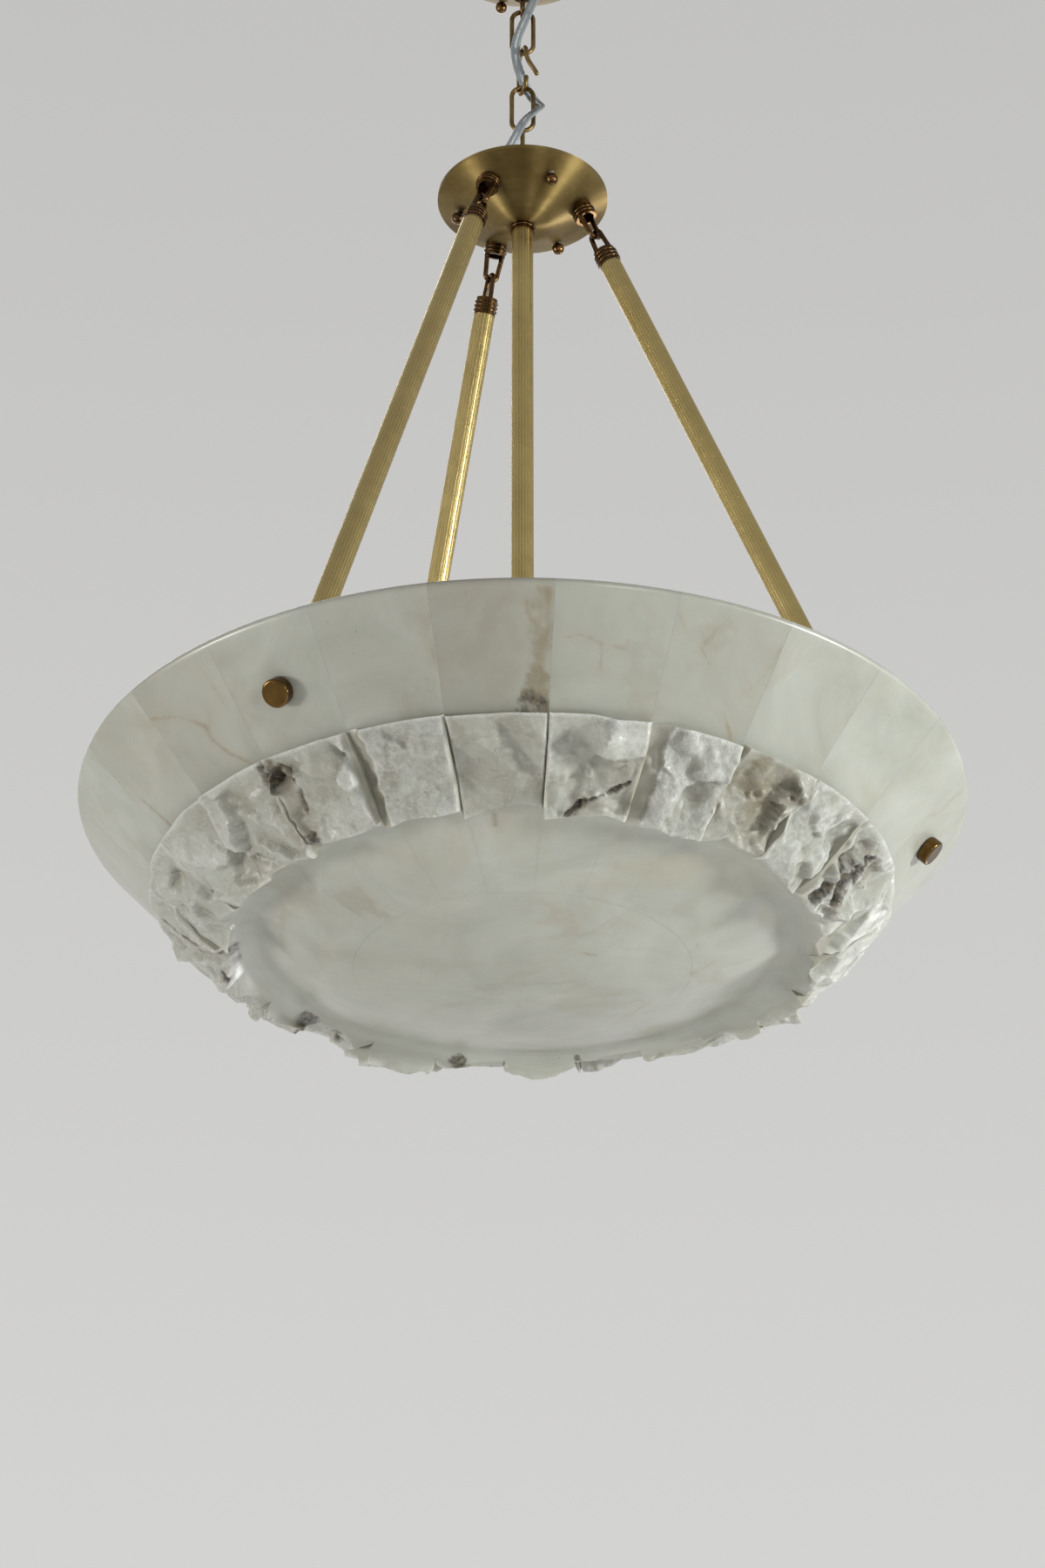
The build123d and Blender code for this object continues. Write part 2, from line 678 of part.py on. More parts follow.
def block_outline(rough, set_back):
    """One column of a rough block: (radius, height) from its inner top round to its inner foot."""
    def uneven(scale=1.0):
        return rough.uniform(-scale, scale) * block_roughness

    top_r = flange_foot_radius + block_ledge - set_back / 3
    low_r = block_lower_radius - set_back / 2
    low_z = -block_lower_depth + set_back
    top_z = -flange_depth
    return [
        (flange_foot_radius - block_root, top_z + block_root),
        (top_r + uneven(), top_z + uneven(0.5)),
        (top_r + (low_r - top_r) / 3 + uneven(1.3), top_z + (low_z - top_z) / 3 + uneven()),
        (top_r + (low_r - top_r) * 2 / 3 + uneven(1.3), top_z + (low_z - top_z) * 2 / 3 + uneven()),
        (low_r + uneven(1.2), low_z + uneven(1.2)),
        (dish_edge_radius + uneven(0.4), -dish_edge_depth - block_root / 2 + uneven(0.5)),
        (dish_edge_radius + block_root / 2, -dish_edge_depth + block_root),
    ]


def facets(polygon_rows):
    """Faces of a closed solid through columns of matching points, split into triangles."""
    faces = [Face(Wire.make_polygon(polygon_rows[0])), Face(Wire.make_polygon(polygon_rows[-1]))]
    for left, right in zip(polygon_rows, polygon_rows[1:]):
        for i in range(len(left)):
            j = (i + 1) % len(left)
            faces.append(Face(Wire.make_polygon([left[i], right[i], right[j]])))
            faces.append(Face(Wire.make_polygon([left[i], right[j], left[j]])))
    return Solid(Shell(faces))


def rough_block(index, rough):
    """The split face of one stave, as flat facets on four columns."""
    seam_angle = math.degrees(seam / 2 / block_lower_radius)
    half = stave_angle / 2 - seam_angle
    set_back = block_set_backs[index % len(block_set_backs)]
    inner = rough.uniform(0.2, 0.5)
    outer = rough.uniform(0.2, 0.5)
    columns = []
    for offset in (-half, -half * inner, half * outer, half):
        a = math.radians(offset)
        column = [(r * math.cos(a), r * math.sin(a), z) for r, z in block_outline(rough, set_back)]
        columns.append(column)
    return facets(columns)


def stave(index, section, rough):
    seam_angle = math.degrees(seam / bowl_radius)
    arc = stave_angle - seam_angle
    body = Rot(0, 0, -arc / 2) * revolve(section, axis=Axis.Z, revolution_arc=arc)
    body += rough_block(index, rough)
    return Pos(0, 0, rim_z) * Rot(0, 0, index * stave_angle) * body


def bowl_pieces():
    rough = random.Random(block_seed)
    section = stave_section()
    holes = around(knob_frame * rod(knob_hole_diameter / 2, -2 * flange_wall, flange_wall), rod_count)
    staves = []
    for index in range(stave_count):
        piece = stave(index, section, rough)
        for hole in holes:
            piece = piece - hole
        staves.append(piece)
    pieces = {}
    for first in range(0, stave_count, staves_per_node):
        name = f"stave_pair_{first // staves_per_node + 1:02d}"
        pieces[name] = staves[first:first + staves_per_node]
    edge = disc_radius
    outer = dish_arc(dish_outer_radius, 0, edge)
    inner = dish_arc(dish_inner_radius, edge, 0)
    outline = [outer, Line(outer @ 1, inner @ 0), inner, Line(inner @ 1, outer @ 0)]
    pieces["bottom_disc"] = [Pos(0, 0, rim_z) * revolve(make_face(outline), axis=Axis.Z)]
    return pieces


def main():
    os.makedirs("parts", exist_ok=True)
    nodes = {}
    nodes.update(canopy_pieces())
    nodes.update(chain_pieces())
    nodes.update(flex_pieces())
    nodes.update(hub_pieces())
    nodes.update(hub_eye_pieces())
    nodes.update(stem_pieces())
    nodes.update(rod_pieces())
    nodes.update(knob_pieces())
    nodes.update(bowl_pieces())
    for name, solids in nodes.items():
        shape = solids[0] if len(solids) == 1 else Compound(children=solids)
        export_step(shape, f"parts/{name}.step")
    rod_lean = math.degrees(math.asin(rod_line.X))
    print(f"hub top {hub_top:.2f}, rod span {rod_span:.1f}, rod lean {rod_lean:.2f}")
    print(f"{len(nodes)} nodes written")


main()
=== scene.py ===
import json
import math
import random
from collections import namedtuple

import bpy
import numpy as np
from mathutils import Matrix, Vector, noise


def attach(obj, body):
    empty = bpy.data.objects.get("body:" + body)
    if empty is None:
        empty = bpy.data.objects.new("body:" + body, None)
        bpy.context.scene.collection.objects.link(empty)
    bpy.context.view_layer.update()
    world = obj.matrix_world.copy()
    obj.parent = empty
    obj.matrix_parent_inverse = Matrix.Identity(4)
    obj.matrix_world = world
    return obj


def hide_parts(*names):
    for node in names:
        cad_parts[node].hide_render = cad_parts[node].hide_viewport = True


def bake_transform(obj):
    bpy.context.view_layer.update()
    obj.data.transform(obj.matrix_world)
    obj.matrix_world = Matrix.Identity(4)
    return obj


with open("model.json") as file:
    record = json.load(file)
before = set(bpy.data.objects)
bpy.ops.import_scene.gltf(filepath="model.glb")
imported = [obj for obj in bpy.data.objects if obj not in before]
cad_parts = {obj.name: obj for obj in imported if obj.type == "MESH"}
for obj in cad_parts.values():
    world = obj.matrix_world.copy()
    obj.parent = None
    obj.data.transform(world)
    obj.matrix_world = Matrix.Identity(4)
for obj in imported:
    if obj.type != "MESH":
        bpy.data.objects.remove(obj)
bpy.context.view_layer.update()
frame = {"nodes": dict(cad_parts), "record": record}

# Alabaster bowl chandelier: stone, flex and bulbs as their own meshes, and finishes for the metal.
# Sizes are written in millimetres, in the frame of the part, and turned into metres when a mesh is made.

nodes = frame["nodes"]
mm = 0.001

# Bowl, as in the part
rim_z = -771.6
bowl_radius = 300.0
rim_round = 3.0
flange_depth = 62.0
flange_width = 58.0
flange_wall = 15.0
shoulder_depth = 26.0
shoulder_width = 57.0
dish_rise = 42.0
dish_wall = 14.0
disc_radius = 112.0
stave_count = 24
staves_per_node = 2
seam = 0.2
block_ledge = 7.0
block_toe = 13.0
block_drop = 18.0
block_root = 8.0
block_roughness = 4.6
block_seed = 11
block_set_backs = (3, -2, -3, 0, 2, 6, 5, 6, -2, 9, 5, 0, -2, 0, 2, 0, 0, 1, 7, 0, 0, 4, 1, 0)

# Grid of a stave: rows along its section, columns across it
flange_rows = 40
ledge_rows = 3
block_rows = 50
wall_rows = 9
dish_rows = 22
inner_rows = 12
stave_columns = 48
edge_column = 0.45  # first and last columns lie this close to a seam
shown_seam = 0.03  # joints are ground tight, so they show as a change of tone

# Split face of a block, with a level top edge and a turned wall between its foot and the dish.
# Steps down a block count its rows of facet corners: 0 at the ledge, the dish one step past the foot.
foot_step = 3.0
level_top = 0.8  # how far the top edge is levelled, and over how many steps
level_run = 0.7
wall_blend = 0.3  # steps over which the split face gives way to the turned wall
cove_reach = 18.0  # how far the cove reaches from the dish's edge, on either side
flake_sizes = (30.0, 13.0)
flake_tilts = (0.5, 0.16)
flake_scoop = 0.3
layer_size = 20.0  # thin layers with steep edges
layer_depth = 4.6
layer_step = 1.5
layer_edge = 2.2
layer_share = 0.6
grain_size = 4.6
grain_depth = 0.7
pit_size = 6.0
pit_depth = 3.4
pit_level = 0.15  # noise above this level is a pit
cavity_size = 5.0  # hollows under a dark crust
cavity_depth = 4.5
cavity_level = 0.3
crack_depth = 2.5
top_calm = (0.2, 0.5)  # share of the relief at the top edge, and steps to all of it; then at the foot
foot_calm = (0.4, 0.6)
usual_side = 1.2  # width of the sawn side beside a split face
side_slope = 1.5
side_depth = 5.5
side_run = 2.0  # distance over which a sawn side gives way to the split face
side_wander = (0.4, 8.0)  # how much a sawn side's edge wanders, and over what distance
sawn_sides = {16: (1, 3), 17: (8, 1.5), 19: (1, 1.5), 20: (11, 1.5), 21: (3, 1), 23: (4, 1)}

# Flex, as in the part
chain_angle = 3.7
flex_route = [
    (14.1, -5.1, -43.6), (9.0, -7.0, -56.6), (2.5, -7.5, -76.6), (-5.2, -6.5, -97.6),
    (-5.6, -3.0, -112.1), (-1.0, 0.5, -128.6), (5.8, 6.0, -141.6), (11.5, 4.5, -150.6),
    (15.0, -0.5, -157.6), (9.0, -7.5, -167.6), (1.0, -14.0, -181.6), (-5.5, -12.5, -196.6),
    (-15.0, -4.0, -211.6), (-17.0, 0.0, -228.0),
]
flex_top_z = -35.5
flex_foot_z = -246.7
flex_splits = (2, 4, 8, 11)
flex_width = 7.2
flex_thickness = 3.2
flex_neck = 4.9  # the width inside a grommet
flex_neck_run = 9.0
flex_untwist = 0.12  # how soon the flat of the flex faces front again after a bend
flex_order = 3
flex_resolution = 10
flex_sides = 28
flex_valley = (0.18, 0.3)  # depth and width of the valley between the cores
flex_roundness = 0.8
core_diameter = 1.6
core_spacing = 3.2

# Bulbs, as in the part, with a hollow envelope and a rolled thread
bulb_count = 3
bulb_first_angle = 60.0
bulb_axis_z = -806.6
holder_face = 25.0
cap_foot = 22.3
cap_top = 47.3
cap_radius = 13.0
globe_centre = 81.3
globe_radius = 22.5
neck_radius = 12.0
glass_thickness = 1.2
glass_seat = 1.0  # how far the glass stands in the cap
glass_steps = 28
glass_pole = 0.002  # angle at the pole that stays open
cap_foot_outline = ((5.0, 0.0), (9.0, 1.8), (11.6, 4.0))
cap_edge = (0.5, 0.6)  # how far in and how far down the cap's upper edge is rolled
cap_gap = 0.2
thread_rings = 5
thread_pitch = 3.6
thread_depth = 0.7
thread_steps = 6
bulb_segments = 40
pole_radius = 0.01  # a turned piece stays open this far round its axis

# Creases, in degrees
split_crease = 38
turned_crease = 40
glass_crease = 50

# View: the camera's place in millimetres and its angles in degrees
camera_place = (139.1, -2151.2, -1939.4)
camera_pitch = 118.976
camera_heading = 3.7
camera_lens = 83.02
camera_sensor = 36.0
camera_clip = 100.0
floor_z = -2600.0
floor_half = 40000.0

# Light: strengths, and lamps with place, target and size in metres and power in watts
fill_strength = 0.27
backdrop_strength = 0.8
floor_glow = 0.42
lamp_target = (0, 0, -0.65)
lamps = [
    ("right", (2.4, -0.7, -1.0), lamp_target, 0.4, 56.0, (0.96, 1.0, 0.98)),
    ("left", (-2.35, -0.9, -1.4), lamp_target, 0.55, 34.0, (1.0, 0.985, 0.94)),
    ("front", (1.2, -2.4, -1.4), lamp_target, 0.3, 12.0),
    ("back", (1.4, 2.3, -1.4), lamp_target, 0.5, 14.0),
    ("low", (0.2, 0.3, -2.5), (0, 0.1, 0), 2.6, 11.0, (1.0, 0.99, 0.96)),
    ("top", (-0.4, 1.6, 0.9), lamp_target, 1.4, 20.0),
]


# Helpers

def new_object(name, verts, faces):
    mesh = bpy.data.meshes.new(name)
    mesh.from_pydata([tuple(c * mm for c in v) for v in verts], [], faces)
    mesh.validate()
    obj = bpy.data.objects.new(name, mesh)
    bpy.context.scene.collection.objects.link(obj)
    return obj


def point_attribute(obj, name, values):
    layer = obj.data.attributes.new(name, "FLOAT", "POINT")
    layer.data.foreach_set("value", np.asarray(values, np.float32))


def polar(radius, angle, height):
    return (radius * math.cos(angle), radius * math.sin(angle), height)


def clamp(value, low=0.0, high=1.0):
    return max(low, min(high, value))


def grid_faces(columns, rows, closed=False):
    """Faces of a grid whose rows run round; closed joins its last column to its first one."""
    faces = []
    for i in range(columns if closed else columns - 1):
        k = (i + 1) % columns
        for j in range(rows):
            up = (j + 1) % rows
            faces.append((i * rows + j, i * rows + up, k * rows + up, k * rows + j))
    return faces


def lathe(name, outline, segments, place=Matrix.Identity(4)):
    """A closed outline of (radius, height) points, turned about Z and put in place."""
    verts = []
    for i in range(segments):
        a = 2 * math.pi * i / segments
        verts += [tuple(place @ Vector(polar(r, a, z))) for r, z in outline]
    faces = [(a, d, c, b) for a, b, c, d in grid_faces(segments, len(outline), closed=True)]
    return new_object(name, verts, faces)


# Materials

class Nodes:
    """Short forms for building the node tree of a material or of the world."""

    def __init__(self, owner):
        owner.use_nodes = True
        self.owner = owner
        self.tree = owner.node_tree
        self.shader = self.tree.nodes.get("Principled BSDF")

    def add(self, kind, **settings):
        node = self.tree.nodes.new("ShaderNode" + kind)
        for key, value in settings.items():
            setattr(node, key, value)
        return node

    def feed(self, socket, value):
        """Give an input a constant or the output of another node."""
        if isinstance(value, bpy.types.NodeSocket):
            self.tree.links.new(value, socket)
        else:
            socket.default_value = value

    def fill(self, node, **values):
        """Feed a node's inputs by name, with _ for a space."""
        for key, value in values.items():
            self.feed(node.inputs[key.replace("_", " ")], value)
        return node

    def set(self, **values):
        self.fill(self.shader, **values)

    def coords(self, kind="Object"):
        return self.add("TexCoord").outputs[kind]

    def attribute(self, name):
        return self.add("Attribute", attribute_name=name).outputs["Fac"]

    def noise(self, coords, scale, detail=4.0, rough=0.55, warp=0.0):
        node = self.add("TexNoise")
        self.fill(node, Vector=coords, Scale=scale, Detail=detail, Roughness=rough, Distortion=warp)
        return node.outputs["Fac"]

    def remap(self, value, low, high, to_low=0.0, to_high=1.0):
        node = self.add("MapRange")
        self.fill(node, Value=value, From_Min=low, From_Max=high, To_Min=to_low, To_Max=to_high)
        return node.outputs["Result"]

    def math(self, operation, a, b):
        node = self.add("Math", operation=operation)
        self.feed(node.inputs[0], a)
        self.feed(node.inputs[1], b)
        return node.outputs["Value"]

    def times(self, a, b):
        return self.math("MULTIPLY", a, b)

    def mix(self, factor, a, b):
        node = self.add("Mix", data_type="RGBA")
        for socket, value in ((0, factor), (6, a), (7, b)):
            self.feed(node.inputs[socket], value)
        return node.outputs[2]

    def bump(self, height, strength, distance):
        node = self.fill(self.add("Bump"), Height=height, Strength=strength, Distance=distance)
        self.set(Normal=node.outputs["Normal"])


def rgb(red, green, blue):
    return (red, green, blue, 1.0)


def plain(name, colour, rough, **more):
    make = Nodes(bpy.data.materials.new(name))
    make.set(Base_Color=colour, Roughness=rough, **more)
    return make


def aged_metal(name, colour, dark, rough, mottle, wear_and_glint):
    """Metal with a mottled patina; its sharp edges are painted lighter, partly as rubbed wear and partly as a
    painted highlight.
    """
    make = plain(name, colour, rough, Metallic=1.0)
    coords = make.coords()
    patina = make.remap(make.noise(coords, mottle, 5.0, 0.6), 0.35, 0.7)
    tone = make.mix(patina, dark, colour)
    if wear_and_glint:
        # Sharp edges painted lighter by pointiness: partly rubbed wear, partly a painted highlight
        edge = make.add("NewGeometry").outputs["Pointiness"]
        wear_and_glint_colour = rgb(*(min(1.0, 2.2 * c) for c in colour[:3]))
        tone = make.mix(make.times(make.remap(edge, 0.5, 0.62), wear_and_glint), tone, wear_and_glint_colour)
    sheen = make.remap(make.noise(coords, 120.0), 0.3, 0.7, rough - 0.06, rough + 0.1)
    make.set(Base_Color=tone, Roughness=sheen)
    make.bump(make.noise(coords, 900.0, 2.0), 0.08, 0.0002)
    return make.owner


def spun_brass():
    """Turned and brushed brass: fine rings, and highlights that fan out from the centre."""
    colour = rgb(0.30, 0.22, 0.088)
    make = plain("spun_brass", colour, 0.42, Metallic=1.0, Anisotropic=0.92, Anisotropic_Rotation=0.25)
    tangent = make.add("Tangent", direction_type="RADIAL", axis="Z")
    make.set(Tangent=tangent.outputs["Tangent"])
    coords = make.coords()
    parts = make.fill(make.add("SeparateXYZ"), Vector=coords).outputs
    squares = [make.math("POWER", parts[axis], 2.0) for axis in "XY"]
    across = make.math("POWER", make.math("ADD", *squares), 0.5)
    ring = make.fill(make.add("CombineXYZ"), X=across, Y=parts["Z"])
    lines = make.noise(ring.outputs[0], 1500.0, 2.0)
    stain = make.remap(make.noise(coords, 28.0, 5.0, 0.6), 0.35, 0.7)
    tone = make.mix(stain, rgb(0.165, 0.112, 0.038), colour)
    tone = make.mix(make.remap(lines, 0.3, 0.7, 0.0, 0.35), tone, rgb(0.11, 0.072, 0.024))
    make.set(Base_Color=tone)
    make.bump(lines, 0.12, 0.0002)
    return make.owner


def clouded(make, coords):
    """Cloudy stone with warm patches, slanting streaks, faint veins, flecks and a tone of its own."""
    cloud = make.remap(make.noise(coords, 13.0, 6.0, 0.62, 0.8), 0.3, 0.7)
    colour = make.mix(cloud, rgb(0.325, 0.33, 0.285), rgb(0.465, 0.475, 0.425))
    warm = make.remap(make.noise(coords, 10.0, 5.0, 0.6, 1.5), 0.54, 0.74, 0.0, 0.6)
    colour = make.mix(warm, colour, rgb(0.355, 0.335, 0.25))
    slant = make.add("Mapping")
    make.fill(slant, Vector=coords, Rotation=(0.6, 0.5, 0.3), Scale=(26.0, 26.0, 5.0))
    streak = make.remap(make.noise(slant.outputs[0], 1.0, 4.0, 0.6, 0.6), 0.6, 0.78, 0.0, 0.4)
    colour = make.mix(streak, colour, rgb(0.33, 0.30, 0.21))
    vein = make.math("SUBTRACT", make.noise(coords, 8.0, 4.0, 0.55, 0.9), 0.5)
    vein = make.remap(make.math("ABSOLUTE", vein, 0.0), 0.0, 0.05, 0.3, 0.0)
    patch = make.remap(make.noise(coords, 6.0, 2.0), 0.5, 0.62)
    colour = make.mix(make.times(vein, patch), colour, rgb(0.29, 0.23, 0.15))
    fleck = make.remap(make.noise(coords, 130.0, 3.0, 0.7), 0.69, 0.76, 0.0, 0.5)
    colour = make.mix(fleck, colour, rgb(0.24, 0.19, 0.125))
    return make.mix(make.attribute("tone"), colour, rgb(0.30, 0.285, 0.23))


def veined(make, coords, colour):
    """Brown veins, each a wobbly line in a faint halo."""
    near_vein = make.attribute("vein")
    wobble = make.noise(coords, 70.0, 5.0, 0.65)
    halo = make.times(near_vein, make.remap(wobble, 0.3, 0.7, 0.1, 0.5))
    colour = make.mix(halo, colour, rgb(0.32, 0.285, 0.20))
    line = make.math("ADD", near_vein, make.remap(wobble, 0.2, 0.8, -0.3, 0.3))
    return make.mix(make.remap(line, 0.66, 1.05, 0.0, 0.6), colour, rgb(0.22, 0.17, 0.10))


def freshly_split(make, speckle, glassy):
    """Split stone, glassy in places and speckled with white and brown."""
    split = make.mix(glassy, rgb(0.315, 0.31, 0.265), rgb(0.42, 0.425, 0.385))
    split = make.mix(make.remap(speckle, 0.55, 1.0, 0.0, 0.45), split, rgb(0.60, 0.605, 0.565))
    return make.mix(make.remap(speckle, 0.0, 0.3, 0.3, 0.0), split, rgb(0.19, 0.172, 0.128))


def weathered(make, coords, colour, grain, speckle):
    """Frosted, stained and crusted places; the stain includes painted shade on the sawn sides and in the
    hollows.
    """
    frost = make.times(make.attribute("frost"), make.remap(grain, 0.3, 0.6, 0.35, 1.0))
    colour = make.mix(frost, colour, rgb(0.61, 0.615, 0.58))
    # The stain attribute also holds painted shade on the sawn sides and in the hollows
    stain = make.times(make.attribute("stain"), make.remap(speckle, 0.0, 1.0, 0.65, 1.0))
    colour = make.mix(stain, colour, rgb(0.21, 0.178, 0.108))
    crust = make.times(make.attribute("crust"), make.remap(speckle, 0.0, 1.0, 1.3, 0.85))
    clod = make.remap(make.noise(coords, 210.0, 4.0, 0.6), 0.45, 0.66)
    earth = make.mix(clod, rgb(0.020, 0.016, 0.010), rgb(0.155, 0.130, 0.080))
    return make.mix(crust, colour, earth)


def alabaster():
    """Cloudy stone; its vertex attributes say where it is veined, split, frosted, stained (with painted shade
    on sawn sides and in hollows) or crusted.
    """
    make = Nodes(bpy.data.materials.new("alabaster"))
    own = make.attribute("shift")
    shift = make.fill(make.add("CombineXYZ"), X=own, Y=own, Z=own)
    place = make.add("VectorMath", operation="ADD")
    make.feed(place.inputs[0], make.coords())
    make.feed(place.inputs[1], shift.outputs[0])
    coords = place.outputs[0]
    split_part = make.attribute("rough")
    grain = make.noise(coords, 420.0, 6.0, 0.72, 0.6)
    speckle = make.remap(grain, 0.36, 0.64)
    glassy = make.remap(make.noise(coords, 60.0, 4.0, 0.6, 0.8), 0.38, 0.64)

    colour = veined(make, coords, clouded(make, coords))
    split_share = make.times(split_part, 0.8)
    colour = make.mix(split_share, colour, freshly_split(make, speckle, glassy))
    colour = weathered(make, coords, colour, grain, speckle)
    gloss = make.times(split_part, make.remap(glassy, 0.0, 1.0, -0.14, 0.04))
    make.set(Base_Color=colour, Roughness=make.math("ADD", gloss, 0.34))
    make.set(Subsurface_Weight=0.3, Subsurface_Scale=0.006, Subsurface_Radius=(1.0, 0.85, 0.65))
    make.set(Coat_Weight=0.15, Coat_Roughness=0.2)
    make.bump(make.times(grain, split_part), 0.75, 0.0016)
    return make.owner


# Metals: colour, patina, roughness, scale of the mottling, and how much lighter the edges are painted (rubbed
# wear and painted highlight)
metals = {
    "dark_bronze": (rgb(0.11, 0.060, 0.023), rgb(0.04, 0.023, 0.011), 0.24, 60.0, 0.8),
    "chain_brass": (rgb(0.23, 0.155, 0.062), rgb(0.085, 0.055, 0.024), 0.36, 70.0, 0.6),
    "reeded_brass": (rgb(0.35, 0.28, 0.125), rgb(0.23, 0.18, 0.078), 0.30, 26.0, 0.4),
    "knob_brass": (rgb(0.15, 0.085, 0.026), rgb(0.085, 0.048, 0.015), 0.16, 50.0, 0.0),
    "zinc_steel": (rgb(0.44, 0.44, 0.43), rgb(0.33, 0.33, 0.33), 0.48, 60.0, 0.0),
}


def make_finishes():
    return {
        "spun_brass": spun_brass(),
        **{name: aged_metal(name, *values) for name, values in metals.items()},
        "porcelain": plain("porcelain", rgb(0.74, 0.73, 0.70), 0.22).owner,
        "clear_flex": plain("clear_flex", rgb(0.40, 0.43, 0.45), 0.28, Transmission_Weight=0.4,
                            IOR=1.45).owner,
        "black_rubber": plain("black_rubber", rgb(0.03, 0.03, 0.03), 0.6).owner,
        "opal_glass": plain("opal_glass", rgb(0.84, 0.84, 0.82), 0.12, Subsurface_Weight=0.3,
                            Subsurface_Scale=0.004).owner,
        "alabaster": alabaster(),
    }


def paint(obj, slot_name):
    obj.data.materials.clear()
    obj.data.materials.append(finishes[slot_name])


def dress(obj, slot_name, crease):
    """Finish a piece of this script's own; edges that turn by more than crease degrees stay crisp."""
    obj.data.shade_smooth()
    obj.data.set_sharp_from_angle(angle=math.radians(crease))
    paint(obj, slot_name)


def dress_cad():
    for name, slot_name in node_slots.items():
        paint(nodes[name], slot_name)


# Stone bowl

flange_foot_radius = bowl_radius - flange_width
dish_edge_radius = flange_foot_radius - shoulder_width
dish_edge_depth = flange_depth + shoulder_depth
dish_depth = dish_edge_depth + dish_rise
block_lower_radius = dish_edge_radius + block_toe
block_lower_depth = dish_edge_depth + block_drop
flange_length = math.hypot(flange_width, flange_depth)
flange_out = (flange_depth / flange_length, -flange_width / flange_length)
rim_half_angle = math.atan2(flange_depth, flange_width) / 2
rim_rise = rim_round * (1 / math.tan(rim_half_angle) - 1) * flange_depth / flange_width
dish_outer = (dish_edge_radius ** 2 + dish_rise ** 2) / (2 * dish_rise)
dish_inner = dish_outer - dish_wall
dish_centre_z = dish_outer - dish_depth
block_length = math.hypot(flange_foot_radius + block_ledge - block_lower_radius,
                          block_lower_depth - flange_depth)
block_width = 2 * math.pi * block_lower_radius / stave_count
flange_span = math.pi * (bowl_radius + flange_foot_radius) / stave_count
block_values = ("rough", "frost", "stain", "crust", "own")
stone_values = block_values + ("vein",)
dish_edge = (dish_edge_radius, -dish_edge_depth)
edge_slope = math.asin(dish_edge_radius / dish_outer)
dish_side = Vector((-math.cos(edge_slope), -math.sin(edge_slope)))
wall_side = Vector((block_toe, -block_drop)).normalized()
cove_out = (dish_side + wall_side).normalized()
cove_depth = cove_reach * cove_out.dot(dish_side) / 2  # a corner moved this far comes out smooth
block_normal = Vector((block_lower_depth - flange_depth,
                       block_lower_radius - flange_foot_radius - block_ledge)).normalized()


def dish_z(sphere, radius):
    return dish_centre_z - math.sqrt(sphere ** 2 - radius ** 2)


def rim_corner(inset):
    """Centre of a rim corner's arc, which lies this far inside the flange's outer face."""
    height = rim_rise - rim_round
    return bowl_radius + (-inset - height * flange_out[1]) / flange_out[0], height


def arc_points(centre, start, finish, count):
    """Points of a rim corner between two directions in degrees."""
    points = []
    for i in range(count):
        a = math.radians(start + (finish - start) * i / (count - 1))
        points.append((centre[0] + rim_round * math.cos(a), centre[1] + rim_round * math.sin(a)))
    return points


def between(start, finish, count, last=True):
    """Evenly spaced points on a straight run."""
    steps = count - 1 if last else count
    return [(start[0] + (finish[0] - start[0]) * i / steps, start[1] + (finish[1] - start[1]) * i / steps)
            for i in range(count)]


def block_columns(index, rough):
    """The facet corners of a block, with the same draws as the part makes."""
    def uneven(scale=1.0):
        return rough.uniform(-scale, scale) * block_roughness

    set_back = block_set_backs[index]
    inner = rough.uniform(0.2, 0.5)
    outer = rough.uniform(0.2, 0.5)
    top_r = flange_foot_radius + block_ledge - set_back / 3
    low_r = block_lower_radius - set_back / 2
    low_z = -block_lower_depth + set_back
    top_z = -flange_depth
    columns = []
    for _ in range(4):
        columns.append([
            (top_r + uneven(), top_z + uneven(0.5)),
            (top_r + (low_r - top_r) / 3 + uneven(1.3), top_z + (low_z - top_z) / 3 + uneven()),
            (top_r + (low_r - top_r) * 2 / 3 + uneven(1.3), top_z + (low_z - top_z) * 2 / 3 + uneven()),
            (low_r + uneven(1.2), low_z + uneven(1.2)),
            (dish_edge_radius + uneven(0.4), -dish_edge_depth - block_root / 2 + uneven(0.5)),
        ])
    return [0.0, (1 - inner) / 2, (1 + outer) / 2, 1.0], columns


def facet_point(stops, columns, across, down):
    """Point on a block's facets: across 0 to 1 over the stave, down in steps of a corner."""
    right = next(i for i in range(1, len(stops)) if across <= stops[i] or i == len(stops) - 1)
    u = (across - stops[right - 1]) / (stops[right] - stops[right - 1])
    row = min(int(down), len(columns[0]) - 2)
    v = down - row
    a, b = columns[right - 1][row], columns[right][row]
    d, c = columns[right - 1][row + 1], columns[right][row + 1]
    if v <= u:
        return tuple(a[i] + u * (b[i] - a[i]) + v * (c[i] - b[i]) for i in (0, 1))
    return tuple(a[i] + v * (d[i] - a[i]) + u * (c[i] - d[i]) for i in (0, 1))


def flaked(place, size, tilt):
    """Height of scooped flakes, which lean their own ways and meet in crisp ridges."""
    spot = place / size
    heights = []
    for near in noise.voronoi(spot)[1]:
        lean = 2 * noise.cell_vector(near * 37.0 + Vector((3.1, 1.7, 5.3))) - Vector((1, 1, 1))
        away = spot - near
        heights.append(away.dot(lean) + flake_scoop * away.length_squared)
    return size * tilt * min(heights)


def layered(place):
    """Height of stone that splits in thin uneven layers."""
    swell = layer_depth * noise.fractal(place / layer_size + Vector((2, 6, 3)), 0.9, 2.1, 4)
    level = math.floor(swell / layer_step)
    rise = clamp(0.5 + layer_edge * (swell / layer_step - level - 0.5))
    return (1 - layer_share) * swell + layer_share * layer_step * (level + rise)


def cleft(place, style):
    """Height of the split stone over its facets."""
    height = style.flakes * sum(flaked(place, size, tilt) for size, tilt in zip(flake_sizes, flake_tilts))
    height += style.layers * layered(place)
    height += style.grain * grain_depth * noise.fractal(place / grain_size, 0.7, 2.2, 3)
    pit = noise.fractal(place / pit_size + Vector((9, 2, 5)), 0.8, 2.2, 2)
    return height - style.pits * pit_depth * max(0.0, pit - pit_level)


